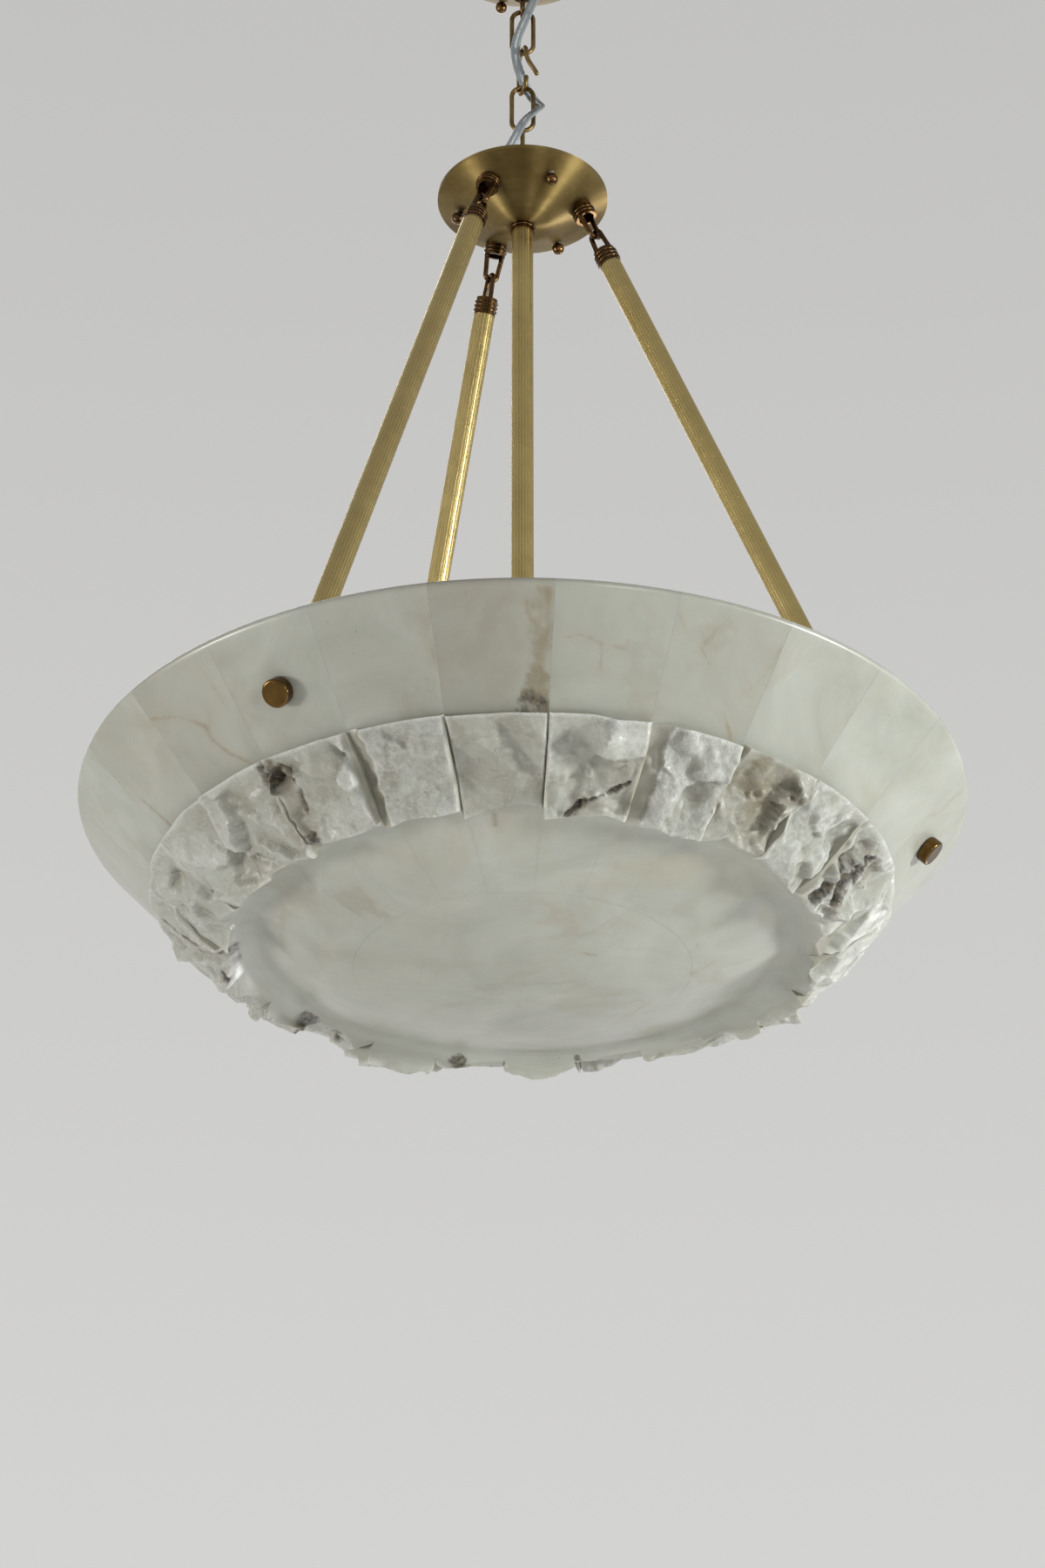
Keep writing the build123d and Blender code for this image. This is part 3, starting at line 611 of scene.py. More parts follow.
def section_fixed():
    """Section runs that every column shares: the rim with the flange, and the dish with the inside."""
    outer_turn = math.degrees(math.atan2(flange_out[1], flange_out[0]))
    rim = arc_points(rim_corner(flange_wall - rim_round), 180 + outer_turn, 90, 4)
    rim += arc_points(rim_corner(rim_round), 90, outer_turn, 7)
    lean = flange_depth / flange_width
    ledge_r = flange_foot_radius + block_ledge / 3
    ledge = (ledge_r, -flange_depth + (ledge_r - flange_foot_radius) * lean)
    flange = between(rim[-1], ledge, flange_rows + 1)[1:]
    inner_edge = disc_radius + seam
    inner_foot = flange_wall - flange_depth
    inner_foot_r = bowl_radius - flange_wall / flange_out[0] + inner_foot * flange_width / flange_depth
    dish_r = between((dish_edge_radius, 0), (inner_edge, 0), dish_rows)
    dish = [(r, dish_z(dish_outer, r)) for r, _ in dish_r]
    inside_r = between((inner_edge, 0), (dish_edge_radius, 0), inner_rows)
    inside = [(r, dish_z(dish_inner, r)) for r, _ in inside_r]
    inside += between(inside[-1], (inner_foot_r, inner_foot), inner_rows)[1:]
    inside += between(inside[-1], rim[0], inner_rows)[1:-1]
    return rim, flange, dish, inside


def column_stops():
    """Places across a stave from 0 to 1, closer beside the seams."""
    width = 2 * math.pi * bowl_radius / stave_count
    edge = edge_column / width
    inner = [edge + (1 - 2 * edge) * i / (stave_columns - 1) for i in range(stave_columns)]
    return [0.0] + inner + [1.0]


def soften(field, passes):
    """Round the facets' edges a little."""
    for _ in range(passes):
        down = field.copy()
        down[:, 1:-1] = (field[:, :-2] + 2 * field[:, 1:-1] + field[:, 2:]) / 4
        field = down.copy()
        field[1:-1] = (down[:-2] + 2 * down[1:-1] + down[2:]) / 4
    return field


# How a block is split, and how much of it is frosted or stained
Style = namedtuple("Style", "flakes layers grain pits frost stain", defaults=(0.1, 0.0))
usual_style = Style(0.7, 0.3, 0.5, 0.1)
block_styles = {
    0: Style(0.8, 0.1, 0.2, 0.0),
    13: Style(0.7, 0.1, 0.4, 0.0),
    14: Style(0.65, 0.1, 0.4, 0.0),
    15: Style(0.7, 0.2, 0.5, 0.0),
    16: Style(1.0, 0.3, 0.5, 0.1, 0.2),
    17: Style(0.25, 0.2, 1.4, 0.6, 0.1),
    18: Style(0.15, 0.3, 0.5, 0.1, 0.0, 0.15),
    19: Style(1.0, 0.3, 0.3, 0.0),
    20: Style(0.7, 0.7, 1.0, 0.2, 0.4),
    21: Style(0.8, 0.5, 0.6, 0.1, 0.1, 0.35),
    22: Style(0.6, 0.5, 1.1, 0.6, 0.2),
    23: Style(1.1, 0.6, 1.0, 0.5, 0.2),
}

# Tone and pattern of the stone: each stave has its own, and the dish has one
stone_seed = 5
tone_range = 0.45
stave_tones = {18: 0.55}
dish_tone = 0.15
shift_step = 1.37
joint_values = {"rough": 0.3, "frost": 0.0, "stain": 0.25, "crust": 0.0, "own": 1.0, "vein": 0.0}
disc_rings = 40
disc_segments = 192

# Frost, stain and painted shade on a split face: amounts, with the steps or distances over which they fade
ridge_frost = 0.4
ridge_size = 3.2
top_frost = (0.9, 0.13)
foot_frost = (0.25, 0.2)
side_frost = (0.7, 1.1)
crust_frost = 0.5
frost_size = 12.0
# Brown on the sawn sides: partly glue, partly painted shade
side_glue_and_shade = (0.5, 1.5)
# Painted shade that darkens the split face in its hollows
hollow_shade = 0.3
crust_stain = 0.3
crack_stain = 0.5
sawn_roughness = 0.25  # share of a split face's roughness
fine_roughness = 0.45  # share of it where the split face has no grain

# Marks in the stone, by part and attribute: stave, centre across and down (0 to 1), half sizes, amount
mark_limit = 4.0  # squared distance, in half sizes, past which a mark is nowhere
mark_core = 1.25
mark_raggedness = 1.3
mark_grain = 9.0
marks = {
    ("flange", "crust"): [
        (18, 0.8, 0.92, 0.14, 0.12, 0.8),
    ],
    ("flange", "stain"): [
        (18, 0.86, 0.82, 0.15, 0.26, 0.9), (18, 0.91, 0.35, 0.09, 0.4, 0.6),
        (18, 0.55, 0.6, 0.4, 0.45, 0.15), (17, 0.88, 0.22, 0.12, 0.14, 0.2),
        (17, 0.8, 0.85, 0.25, 0.18, 0.2), (19, 0.82, 0.7, 0.18, 0.4, 0.22),
        (20, 0.36, 0.2, 0.16, 0.14, 0.2),
    ],
    ("dish", "stain"): [
        (15, 0.3, 0.68, 0.4, 0.22, 0.35), (22, 0.3, 0.7, 0.3, 0.1, 0.2),
    ],
    ("block", "crust"): [
        (14, 0.08, 0.9, 0.1, 0.1, 0.6), (15, 0.96, 0.12, 0.07, 0.12, 0.85),
        (16, 0.08, 0.22, 0.11, 0.15, 0.9), (16, 0.1, 0.92, 0.13, 0.09, 0.9),
        (19, 0.28, 0.95, 0.1, 0.06, 0.9), (21, 0.84, 0.16, 0.1, 0.09, 1.0),
        (21, 0.8, 0.46, 0.08, 0.07, 0.7), (23, 0.36, 0.5, 0.24, 0.34, 0.9),
    ],
    ("block", "stain"): [
        (15, 0.92, 0.65, 0.12, 0.35, 0.6), (16, 0.1, 0.5, 0.16, 0.45, 0.6),
        (19, 0.55, 0.86, 0.35, 0.12, 0.4), (21, 0.6, 0.3, 0.45, 0.4, 0.35),
        (22, 0.5, 0.08, 0.4, 0.1, 0.3), (23, 0.62, 0.78, 0.18, 0.16, 0.6),
    ],
    ("wall", "crust"): [
        (5, 0.93, 0.5, 0.07, 0.7, 0.8), (7, 0.68, 0.5, 0.12, 0.7, 0.9),
        (10, 0.22, 0.4, 0.2, 0.6, 0.8), (12, 0.5, 0.35, 0.4, 0.3, 0.9),
    ],
}

# Dark cracks in the blocks: stave, line across and down, half width, amount
cracks = [
    (12, [(0.6, 0.3), (0.84, 1.0)], 2.6, 1.0),
    (12, [(0.44, 0.45), (0.14, 1.0)], 2.6, 1.0),
    (16, [(0.16, 0.1), (0.24, 0.35), (0.18, 0.6)], 1.0, 0.6),
    (19, [(0.28, 0.96), (0.45, 0.85), (0.66, 0.77), (0.92, 0.62)], 1.8, 1.0),
    (23, [(0.56, 0.2), (0.4, 0.4), (0.24, 0.62), (0.16, 0.9)], 3.0, 1.0),
    (23, [(0.4, 0.4), (0.66, 0.5)], 2.0, 0.9),
    (23, [(0.3, 0.55), (0.44, 0.8)], 2.0, 0.8),
    (9, [(0.4, 0.85), (0.6, 1.0)], 3.0, 0.8),
    (10, [(0.1, 0.8), (0.24, 1.0)], 3.0, 0.8),
]

# Veins in the flange: stave, line across and down, reach, amount
veins = [
    (14, [(0.14, 0.62), (0.22, 0.85), (0.26, 1.0)], 6.0, 1.0),
    (14, [(0.92, 0.0), (0.9, 0.2), (0.98, 0.4)], 7.0, 0.6),
    (14, [(0.02, 0.15), (0.1, 0.45), (0.15, 0.62)], 9.0, 0.6),
    (15, [(0.0, 0.22), (0.32, 0.33), (0.56, 0.52), (0.54, 0.62), (0.64, 0.79), (0.86, 0.97)], 6.0, 0.95),
    (15, [(0.84, 0.1), (0.88, 0.42), (0.68, 0.45), (0.56, 0.58)], 6.0, 0.75),
    (17, [(0.94, 0.05), (0.98, 0.55)], 6.0, 0.7),
    (18, [(0.3, 0.02), (0.31, 0.16)], 6.0, 0.8),
    (18, [(0.78, 0.1), (0.8, 0.25), (0.93, 0.34)], 6.0, 0.85),
    (18, [(0.95, 0.0), (0.96, 0.3), (0.9, 0.5), (0.93, 0.75)], 9.0, 1.0),
    (19, [(0.03, 0.4), (0.22, 0.35), (0.42, 0.41), (0.62, 0.43)], 7.0, 0.75),
    (19, [(0.42, 0.41), (0.44, 0.62)], 6.0, 0.85),
    (20, [(0.02, 0.1), (0.1, 0.2)], 7.0, 0.85),
    (20, [(0.42, 0.08), (0.28, 0.33), (0.4, 0.44)], 7.0, 0.8),
    (20, [(0.98, 0.03), (0.97, 0.28), (0.9, 0.5), (0.78, 0.62)], 6.0, 0.8),
    (20, [(0.7, 0.78), (0.88, 0.97)], 6.0, 0.9),
    (21, [(0.98, 0.4), (0.88, 0.63), (0.94, 0.93)], 11.0, 0.6),
    (22, [(0.18, 0.02), (0.02, 0.34)], 11.0, 0.6),
    (23, [(0.05, 0.47), (0.02, 0.75)], 10.0, 0.6),
    (23, [(0.99, 0.4), (0.96, 0.62), (0.88, 0.78)], 6.0, 0.75),
    (0, [(0.16, 0.0), (0.12, 0.32), (0.02, 0.42)], 6.0, 0.9),
]

# Veins in the dish: line as directions in degrees and radii, reach, amount
dish_veins = [
    ([(306, 60), (322, 64)], 5.0, 1.0),
    ([(79, 97), (84, 97)], 5.0, 1.0),
    ([(268, 168), (268, 178)], 7.0, 1.0),
    ([(296, 80), (300, 130), (296, 165)], 9.0, 0.65),
    ([(350, 118), (338, 125)], 5.0, 0.8),
    ([(8, 110), (2, 128)], 5.0, 0.8),
    ([(40, 105), (30, 118)], 6.0, 0.7),
    ([(104, 20), (98, 28)], 5.0, 0.8),
    ([(220, 95), (228, 150)], 10.0, 0.6),
    ([(150, 70), (140, 100)], 6.0, 0.7),
]


def line_distance(x, y, line, wide=1.0, high=1.0):
    """Distance of a point from a line of straight runs, after both are sized."""
    x, y = x * wide, y * high
    sized = [(u * wide, v * high) for u, v in line]
    nearest = math.inf
    for (ax, ay), (bx, by) in zip(sized, sized[1:]):
        run_x, run_y = bx - ax, by - ay
        along = clamp(((x - ax) * run_x + (y - ay) * run_y) / (run_x ** 2 + run_y ** 2))
        nearest = min(nearest, math.hypot(x - ax - along * run_x, y - ay - along * run_y))
    return nearest


def covered(reach, amount, place):
    """Share of a mark at a point, from its squared distance in half sizes, with ragged edges."""
    if reach > mark_limit:
        return 0.0
    ragged = mark_raggedness * noise.fractal(place / mark_grain, 0.8, 2.2, 4)
    return amount * clamp(mark_core - reach + ragged)


def marked(index, part, attribute, across, down, place):
    """How strongly the marks cover a point."""
    total = 0.0
    for stave, u, v, wide, high, amount in marks.get((part, attribute), ()):
        if stave == index:
            total += covered(((across - u) / wide) ** 2 + ((down - v) / high) ** 2, amount, place)
    return clamp(total)


def cracked(index, across, down, place):
    """How strongly the cracks in a block cover a point."""
    total = 0.0
    for stave, line, half, amount in cracks:
        if stave == index:
            away = line_distance(across, down, line, block_width, block_length)
            total += covered((away / half) ** 2, amount, place)
    return clamp(total)


def flange_vein(index, across, down):
    """Nearness to a vein of the flange, from 0 to 1."""
    total = 0.0
    for stave, line, reach, amount in veins:
        if stave == index:
            away = line_distance(across, down, line, flange_span, flange_length)
            total = max(total, amount * clamp(1 - away / reach))
    return total


def dish_vein(x, y):
    """Nearness to a vein of the dish, from 0 to 1."""
    total = 0.0
    for line, reach, amount in dish_veins:
        plan = [polar(r, math.radians(angle), 0.0)[:2] for angle, r in line]
        total = max(total, amount * clamp(1 - line_distance(x, y, plan) / reach))
    return total


def block_facets(index, rough, stops_across, steps):
    """Radius and height of a block's large facets, down to its foot and along the turned wall to the dish."""
    stops, columns = block_columns(index, rough)
    base = np.array([[facet_point(stops, columns, u, s) for s in steps] for u in stops_across])
    base = np.stack([soften(base[..., 0], 2), soften(base[..., 1], 2)], axis=-1)
    top = np.array([flange_foot_radius + block_ledge, -flange_depth])
    fade = level_top * np.clip(1 - np.array(steps) / level_run, 0, 1)
    base += (top - base[:, :1]) * fade[None, :, None]
    foot_r, foot_z = base[:, block_rows - 1].T
    for j in range(block_rows, len(steps)):
        t = steps[j] - foot_step
        z = foot_z + (-dish_edge_depth - foot_z) * t
        wall_r = dish_edge_radius + (-dish_edge_depth - z) * block_toe / block_drop
        r = foot_r + (dish_edge_radius - foot_r) * t
        base[:, j, 0] = r + (wall_r - r) * clamp(t / wall_blend)
        base[:, j, 1] = z
    return base


def sawn_width(index, across, place):
    """How far a point lies inside the sawn side of a block; less than 0 on the split face."""
    left, right = sawn_sides.get(index, (usual_side, usual_side))
    wander, size = side_wander
    ragged = 1 + wander * noise.noise(place / size + Vector((1, 8, 4)))
    return max(left * ragged - across * block_width, right * ragged - (1 - across) * block_width)


def calmed(step):
    """Share of the relief that is left beside a block's top edge and its foot."""
    top_share, top_run = top_calm
    foot_share, foot_run = foot_calm
    return min(top_share + (1 - top_share) * clamp(step / top_run),
               foot_share + (1 - foot_share) * clamp((foot_step - step) / foot_run))


def split_point(index, across, step, place, relief):
    """Height over the facets, and the stone's attributes, at one point of a block."""
    style = block_styles.get(index, usual_style)
    down = clamp(step / foot_step)
    on_face = 1 - clamp((step - foot_step) / wall_blend)
    sawn = sawn_width(index, across, place)
    split = clamp(1 - sawn / side_run)
    crust = marked(index, "block", "crust", across, down, place)
    crack = cracked(index, across, down, place)
    cavity = clamp(0.35 + 1.6 * noise.noise(place / cavity_size + Vector((7, 3, 1))))
    side_drop = side_depth * (1 - math.exp(-side_slope * max(0.0, sawn) / side_depth))
    height = relief * split * calmed(step) - side_drop
    height += crust * split * cavity_depth * (cavity_level - cavity) - crack * crack_depth
    height *= on_face

    coarse = fine_roughness + (1 - fine_roughness) * min(1.0, style.grain)
    ridge = clamp(0.9 * noise.noise(place / ridge_size + Vector((4, 4, 1))) + 0.3 * height - 0.2)
    edges = top_frost[0] * clamp(1 - step / top_frost[1])
    edges += foot_frost[0] * clamp(1 - abs(step - foot_step) / foot_frost[1])
    edges += side_frost[0] * math.exp(-(sawn / side_frost[1]) ** 2) + crust_frost * crust * (1 - cavity)
    frosted = style.frost * (0.6 + noise.noise(place / frost_size))
    # Painted shade: the split face is darkened where it sinks below its mean height
    hollow = clamp(-0.4 * height - 0.2) * split
    # Stain: sawn sides (glue and painted shade), hollows (painted shade), crusts, cracks and marks
    stain = side_glue_and_shade[0] * clamp(sawn / side_glue_and_shade[1]) + hollow_shade * hollow + crust_stain * crust
    stain += crack_stain * crack
    stain += style.stain
    stain += marked(index, "block", "stain", across, down, place)
    wall_crust = marked(index, "wall", "crust", across, step - foot_step, place) if on_face < 1 else 0.0
    return {
        "height": height,
        "rough": (sawn_roughness + (1 - sawn_roughness) * split) * coarse * on_face,
        "frost": clamp(ridge_frost * ridge + edges + frosted) * on_face,
        "stain": clamp(stain) * on_face,
        "crust": max(crust * clamp(0.4 + cavity), crack) * on_face + (1 - on_face) * wall_crust,
        "own": 1.0 if on_face > 0 else 0.0,
    }


def block_surface(index, rough, angles, stops_across):
    """Grids over a block, from its ledge to the dish: radius, height and the stone's attributes."""
    steps = [foot_step * i / (block_rows - 1) for i in range(block_rows)]
    steps += [foot_step + (i + 1) / wall_rows for i in range(wall_rows)]
    base = block_facets(index, rough, stops_across, steps)
    spots = [[Vector(polar(r, angle, z)) for r, z in column] for angle, column in zip(angles, base)]
    style = block_styles.get(index, usual_style)
    relief = soften(np.array([[cleft(spot, style) for spot in column] for column in spots]), 1)
    relief -= relief.mean()
    grids = {name: np.zeros(relief.shape) for name in ("height",) + block_values}
    for i, u in enumerate(stops_across):
        for j, step in enumerate(steps):
            for name, value in split_point(index, u, step, spots[i][j], relief[i, j]).items():
                grids[name][i, j] = value
    grids["r"] = base[..., 0] + block_normal[0] * grids["height"]
    grids["z"] = base[..., 1] + block_normal[1] * grids["height"]
    return grids


def coved(point):
    """A section point, moved off the corner between wall and dish to round it."""
    lift = cove_depth * clamp(1 - math.dist(point, dish_edge) / cove_reach) ** 2
    return point[0] + cove_out[0] * lift, point[1] + cove_out[1] * lift


def stave_grid(index, rough, fixed):
    """Vertices and attributes of one stave as a grid of columns by rows."""
    rim, flange, dish, inside = fixed
    arc = 2 * math.pi / stave_count - shown_seam / bowl_radius
    centre = 2 * math.pi * index / stave_count
    stops_across = column_stops()
    angles = [centre + arc * (u - 0.5) for u in stops_across]
    block = block_surface(index, rough, angles, stops_across)
    verts = []
    values = {name: [] for name in stone_values}
    for i, u in enumerate(stops_across):
        face = list(zip(block["r"][i], block["z"][i]))
        ledge = between(flange[-1], face[0], ledge_rows + 1, last=False)[1:]
        turned = [coved(point) for point in face + dish]
        column = rim + flange + ledge + turned + inside
        first_face = len(rim) + len(flange) + len(ledge)
        last_face = first_face + len(face)
        for j, (r, z) in enumerate(column):
            verts.append(polar(r, angles[i], z + rim_z))
            place = Vector(verts[-1])
            point = dict.fromkeys(stone_values, 0.0)
            point["own"] = 1.0
            if first_face <= j < last_face:
                point.update({name: block[name][i, j - first_face] for name in block_values})
            elif len(rim) <= j < len(rim) + len(flange):
                down = (j - len(rim)) / len(flange)
                point["stain"] = marked(index, "flange", "stain", u, down, place)
                point["crust"] = marked(index, "flange", "crust", u, down, place)
                point["vein"] = flange_vein(index, u, down)
            elif last_face <= j < last_face + len(dish):
                point["stain"] = marked(index, "dish", "stain", u, (j - last_face) / len(dish), place)
                point["vein"] = dish_vein(place.x, place.y)
                point["own"] = 0.0
            for name, value in point.items():
                values[name].append(value)
    return verts, values, len(stops_across), len(column)


def make_stave(index, rough, fixed, looks):
    """One stave: its grid, closed by a flat joint at either side."""
    verts, values, columns, rows = stave_grid(index, rough, fixed)
    count = len(verts)
    faces = grid_faces(columns, rows)
    faces.append(tuple(range(count + rows - 1, count - 1, -1)))
    faces.append(tuple(range(count + rows, count + 2 * rows)))
    obj = new_object(f"stave_{index + 1:02d}", verts + verts[:rows] + verts[-rows:], faces)
    values = {name: np.array(grid + [joint_values[name]] * (2 * rows)) for name, grid in values.items()}
    own = values.pop("own")
    for name, grid in values.items():
        point_attribute(obj, name, grid)
    tone = looks.uniform(0.0, tone_range)
    tone = stave_tones.get(index, tone)
    point_attribute(obj, "tone", dish_tone + (tone - dish_tone) * own)
    point_attribute(obj, "shift", own * (index * shift_step + looks.uniform(0, 1)))
    dress(obj, "alabaster", split_crease)
    return obj


def make_disc():
    """The round stone in the middle of the dish."""
    edge = disc_radius + seam - shown_seam
    radii = [edge * i / disc_rings for i in range(disc_rings + 1)]
    outer = [(r, dish_z(dish_outer, r) + rim_z) for r in radii]
    inner = [(r, z + dish_z(dish_inner, r) - dish_z(dish_outer, r)) for r, z in reversed(outer)]
    outer[0] = (pole_radius, outer[0][1])
    inner[-1] = (pole_radius, inner[-1][1])
    obj = lathe("disc_stone", outer + inner, disc_segments)
    count = len(obj.data.vertices)
    for name in ("rough", "frost", "stain", "crust", "shift"):
        point_attribute(obj, name, [0.0] * count)
    point_attribute(obj, "tone", [dish_tone] * count)
    point_attribute(obj, "vein", [dish_vein(v.co.x / mm, v.co.y / mm) for v in obj.data.vertices])
    dress(obj, "alabaster", turned_crease)
    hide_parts("bottom_disc")
    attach(obj, "bowl")


def make_bowl():
    rough = random.Random(block_seed)
    looks = random.Random(stone_seed)
    fixed = section_fixed()
    for index in range(stave_count):
        obj = make_stave(index, rough, fixed, looks)
        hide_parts(f"stave_pair_{index // staves_per_node + 1:02d}")
        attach(obj, "bowl")
    make_disc()


# Twin flex

def flex_lines():
    """The flex route's smooth line, cut into one run of points for each stretch."""
    points = [flex_route[0][:2] + (flex_top_z,)] + flex_route + [flex_route[-1][:2] + (flex_foot_z,)]
    curve = bpy.data.curves.new("flex_line", "CURVE")
    curve.dimensions = "3D"
    spline = curve.splines.new("NURBS")
    spline.points.add(len(points) - 1)
    for target, point in zip(spline.points, points):
        target.co = (*point, 1.0)
    spline.order_u = flex_order
    spline.use_endpoint_u = True
    spline.resolution_u = flex_resolution
    holder = bpy.data.objects.new("flex_line", curve)
    mesh = bpy.data.meshes.new_from_object(holder)
    turn = Matrix.Rotation(math.radians(chain_angle), 3, "Z")
    line = [turn @ v.co for v in mesh.vertices]
    bpy.data.objects.remove(holder)
    bpy.data.meshes.remove(mesh)
    halves = [turn @ ((Vector(points[i + 1]) + Vector(points[i + 2])) / 2) for i in flex_splits]
    cuts = [min(range(len(line)), key=lambda n: (line[n] - half).length) for half in halves]
    ends = [0] + cuts + [len(line) - 1]
    return line, ends


def carried_frames(line):
    """A sideways direction at each point of a line, which is carried along it and eases back to +X."""
    frames = []
    side = Vector((1, 0, 0))
    for i in range(len(line)):
        along = (line[min(i + 1, len(line) - 1)] - line[max(i - 1, 0)]).normalized()
        side = side + flex_untwist * Vector((1, 0, 0))
        side = (side - along * side.dot(along)).normalized()
        frames.append((side, along.cross(side)))
    return frames


def swept_mesh(name, line, frames, widths, profile):
    """A tube with its own outline along a line, closed at both ends; widths squeeze it sideways."""
    count = len(profile)
    verts = []
    for point, (side, up), wide in zip(line, frames, widths):
        verts += [tuple(point + side * x * wide + up * y) for x, y in profile]
    faces = grid_faces(len(line), count)
    faces.append(tuple(range(count - 1, -1, -1)))
    faces.append(tuple(range(len(verts) - count, len(verts))))
    return new_object(name, verts, faces)


def round_profile(diameter, offset=0.0, sides=12):
    return [(offset + diameter / 2 * math.cos(2 * math.pi * i / sides),
             diameter / 2 * math.sin(2 * math.pi * i / sides)) for i in range(sides)]


def flat_profile():
    """Two round cores side by side under one skin, with a shallow valley between them."""
    depth, width = flex_valley
    points = []
    for i in range(flex_sides):
        a = 2 * math.pi * i / flex_sides
        valley = 1 - depth * math.exp(-(math.cos(a) / width) ** 2)
        lobe = flex_thickness / 2 * math.sin(a) * valley
        across = math.copysign(abs(math.cos(a)) ** flex_roundness, math.cos(a))
        points.append((flex_width / 2 * across, lobe))
    return points


def squeezed(point):
    """Share of its full width that the flex has at a point: less inside the grommets."""
    inside = min(flex_top_z - point.z, point.z - flex_foot_z)
    return flex_neck / flex_width + (1 - flex_neck / flex_width) * clamp(inside / flex_neck_run)


def make_flex():
    line, ends = flex_lines()
    frames = carried_frames(line)
    for number in range(len(ends) - 1):
        start, finish = ends[number], ends[number + 1]
        run = line[start:finish + 1]
        turns = frames[start:finish + 1]
        widths = [squeezed(point) for point in run]
        skin = swept_mesh(f"flex_skin_{number + 1}", run, turns, widths, flat_profile())
        dress(skin, "clear_flex", turned_crease)
        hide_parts(f"flex_{number + 1}")
        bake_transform(skin)
        for side in (-1, 1):
            name = f"flex_core_{number + 1}_{'left' if side < 0 else 'right'}"
            profile = round_profile(core_diameter, side * core_spacing / 2)
            core = swept_mesh(name, run, turns, widths, profile)
            dress(core, "zinc_steel", turned_crease)
            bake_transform(core)


# Bulbs

def bulb_glass_outline():
    """The envelope's outside and inside, from its open foot and back."""
    join = math.asin(neck_radius / globe_radius)

    def skin(inset):
        points = [(neck_radius - inset, cap_top - glass_seat)]
        for i in range(glass_steps + 1):
            a = math.pi - join + (glass_pole - math.pi + join) * i / glass_steps
            across, up, _ = polar(globe_radius - inset, math.pi / 2 - a, 0.0)
            points.append((across, globe_centre + up))
        return points

    return skin(0.0) + list(reversed(skin(glass_thickness)))


def bulb_cap_outline():
    """A screw cap: rolled thread rings over a plain foot, closed at both ends."""
    points = [(pole_radius, cap_foot)] + [(r, cap_foot + z) for r, z in cap_foot_outline]
    start = points[-1][1]
    for i in range(thread_rings * thread_steps + 1):
        crest = thread_depth * math.cos(2 * math.pi * i / thread_steps)
        points.append((cap_radius - thread_depth + crest, start + thread_pitch * i / thread_steps))
    points.append((cap_radius - cap_edge[0], cap_top - cap_edge[1]))
    return points + [(neck_radius + cap_gap, cap_top), (pole_radius, cap_top)]


def make_bulbs():
    for i in range(bulb_count):
        turn = Matrix.Rotation(math.radians(bulb_first_angle + i * 360.0 / bulb_count), 4, "Z")
        outward = Matrix.Translation((holder_face, 0, bulb_axis_z)) @ Matrix.Rotation(math.pi / 2, 4, "Y")
        place = turn @ outward
        glass = lathe(f"bulb_globe_{i + 1}", bulb_glass_outline(), bulb_segments, place)
        cap = lathe(f"bulb_cap_{i + 1}", bulb_cap_outline(), bulb_segments, place)
        dress(glass, "opal_glass", glass_crease)
        dress(cap, "zinc_steel", turned_crease)
        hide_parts(f"bulb_{i + 1}")
        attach(glass, f"bulb_{i + 1}")
        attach(cap, f"bulb_{i + 1}")


# Stage

def soft_lamp(name, place, target, size, power, colour=(1.0, 1.0, 1.0)):
    data = bpy.data.lights.new(name, "AREA")
    data.shape = "SQUARE"
    data.size = size
    data.energy = power
    data.color = colour
    obj = bpy.data.objects.new(name, data)
    obj.location = place
    obj.rotation_euler = (Vector(target) - obj.location).to_track_quat("-Z", "Y").to_euler()
    obj.visible_camera = False
    bpy.context.scene.collection.objects.link(obj)


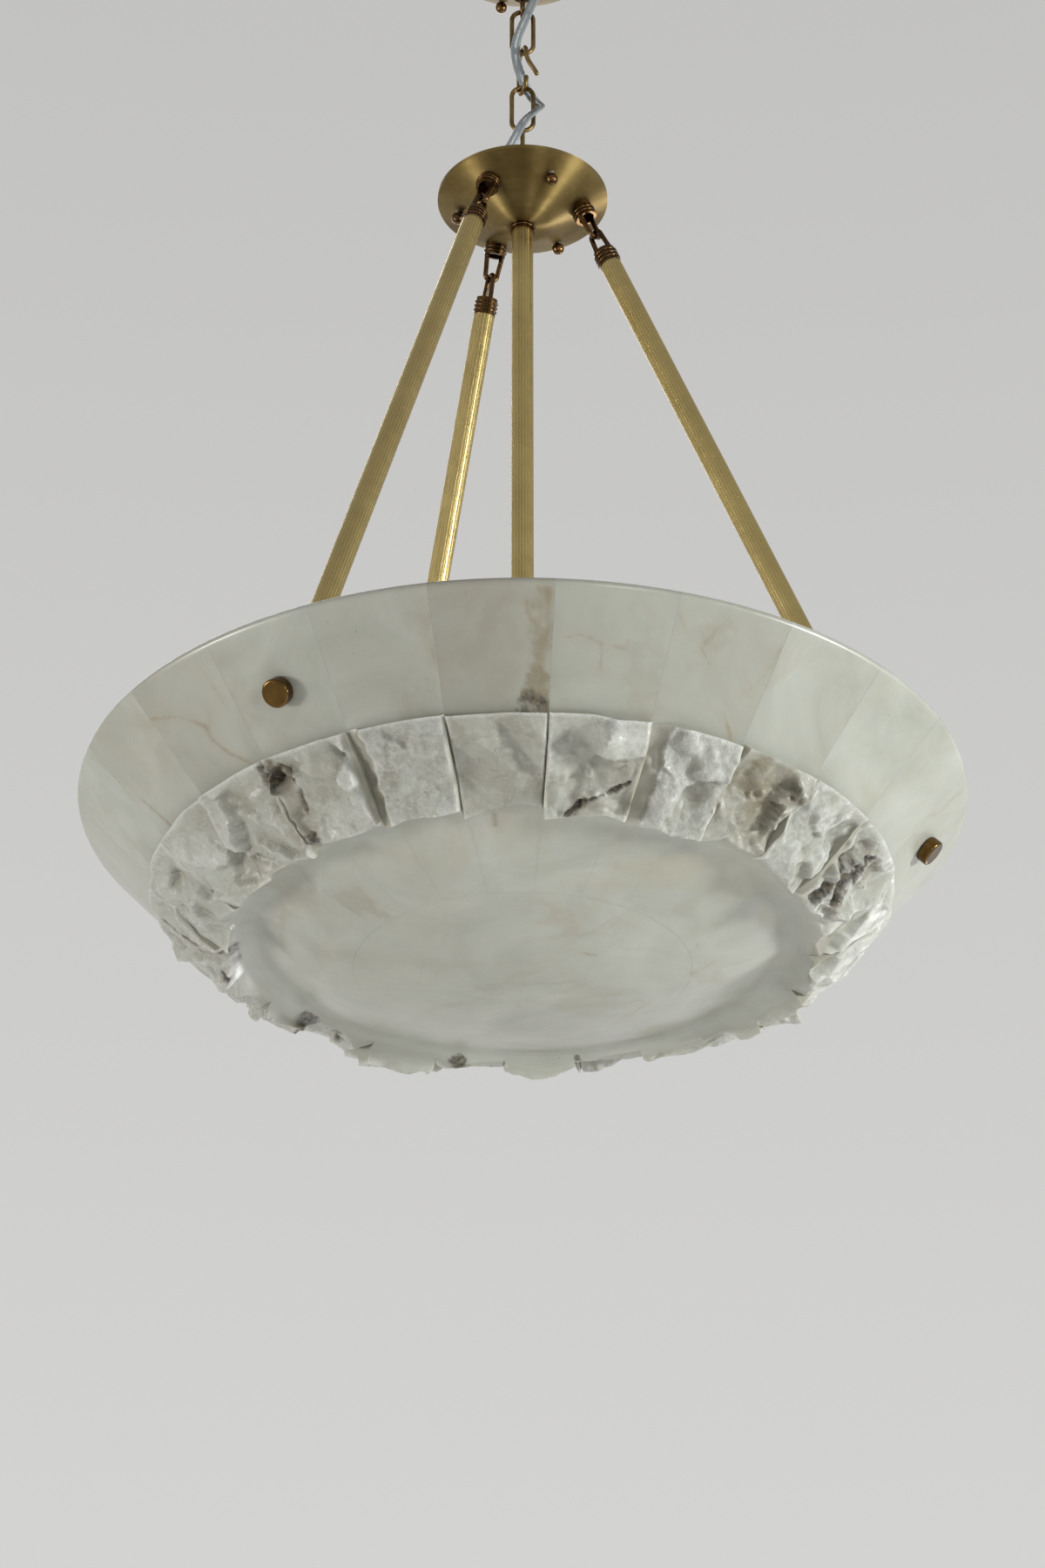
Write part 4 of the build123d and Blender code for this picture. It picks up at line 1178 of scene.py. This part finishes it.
def make_camera():
    data = bpy.data.cameras.new("camera")
    data.lens = camera_lens
    data.sensor_width = camera_sensor
    data.clip_end = camera_clip
    obj = bpy.data.objects.new("camera", data)
    obj.location = [c * mm for c in camera_place]
    obj.rotation_euler = (math.radians(camera_pitch), 0.0, math.radians(camera_heading))
    bpy.context.scene.collection.objects.link(obj)
    bpy.context.scene.camera = obj


def seen_rays(make):
    """1 for rays of the lens, metal and glass, and 0 for those that light a surface."""
    rays = make.add("LightPath").outputs
    seen = make.math("MAXIMUM", rays["Is Camera Ray"], rays["Is Glossy Ray"])
    return make.math("MAXIMUM", seen, rays["Is Transmission Ray"])


def make_world():
    """A pale backdrop that the lens, metal and glass see, over a softer fill light."""
    world = bpy.data.worlds.new("studio")
    bpy.context.scene.world = world
    make = Nodes(world)
    fill = make.tree.nodes["Background"]
    make.fill(fill, Color=rgb(0.90, 0.91, 0.93), Strength=fill_strength)
    height = make.fill(make.add("SeparateXYZ"), Vector=make.coords("Generated"))
    ramp = make.fill(make.add("ValToRGB"), Fac=height.outputs["Z"])
    low, high = ramp.color_ramp.elements
    low.color = rgb(0.93, 0.925, 0.91)
    high.color = rgb(0.55, 0.545, 0.53)
    back = make.add("Background")
    make.fill(back, Color=ramp.outputs["Color"], Strength=backdrop_strength)
    mix = make.fill(make.add("MixShader"), Fac=seen_rays(make))
    make.feed(mix.inputs[1], fill.outputs[0])
    make.feed(mix.inputs[2], back.outputs[0])
    make.fill(make.tree.nodes["World Output"], Surface=mix.outputs[0])


def make_floor():
    """A pale floor, which the lens, metal and glass see paler than the light on it makes it."""
    corners = [(x * floor_half, y * floor_half, floor_z) for x, y in ((-1, -1), (1, -1), (1, 1), (-1, 1))]
    floor = new_object("floor", corners, [(0, 1, 2, 3)])
    make = plain("floor", rgb(0.74, 0.735, 0.72), 0.8)
    glow = make.times(seen_rays(make), floor_glow)
    make.set(Emission_Color=rgb(1.0, 0.99, 0.97), Emission_Strength=glow)
    floor.data.materials.append(make.owner)


def make_stage():
    make_camera()
    make_world()
    make_floor()
    for lamp in lamps:
        soft_lamp(*lamp)
    bpy.context.scene.view_settings.view_transform = "Standard"


node_slots = {part["node"]: part["material_slot"] for part in frame["record"]["subparts"]}
finishes = make_finishes()
make_stage()
dress_cad()
make_bowl()
make_flex()
make_bulbs()
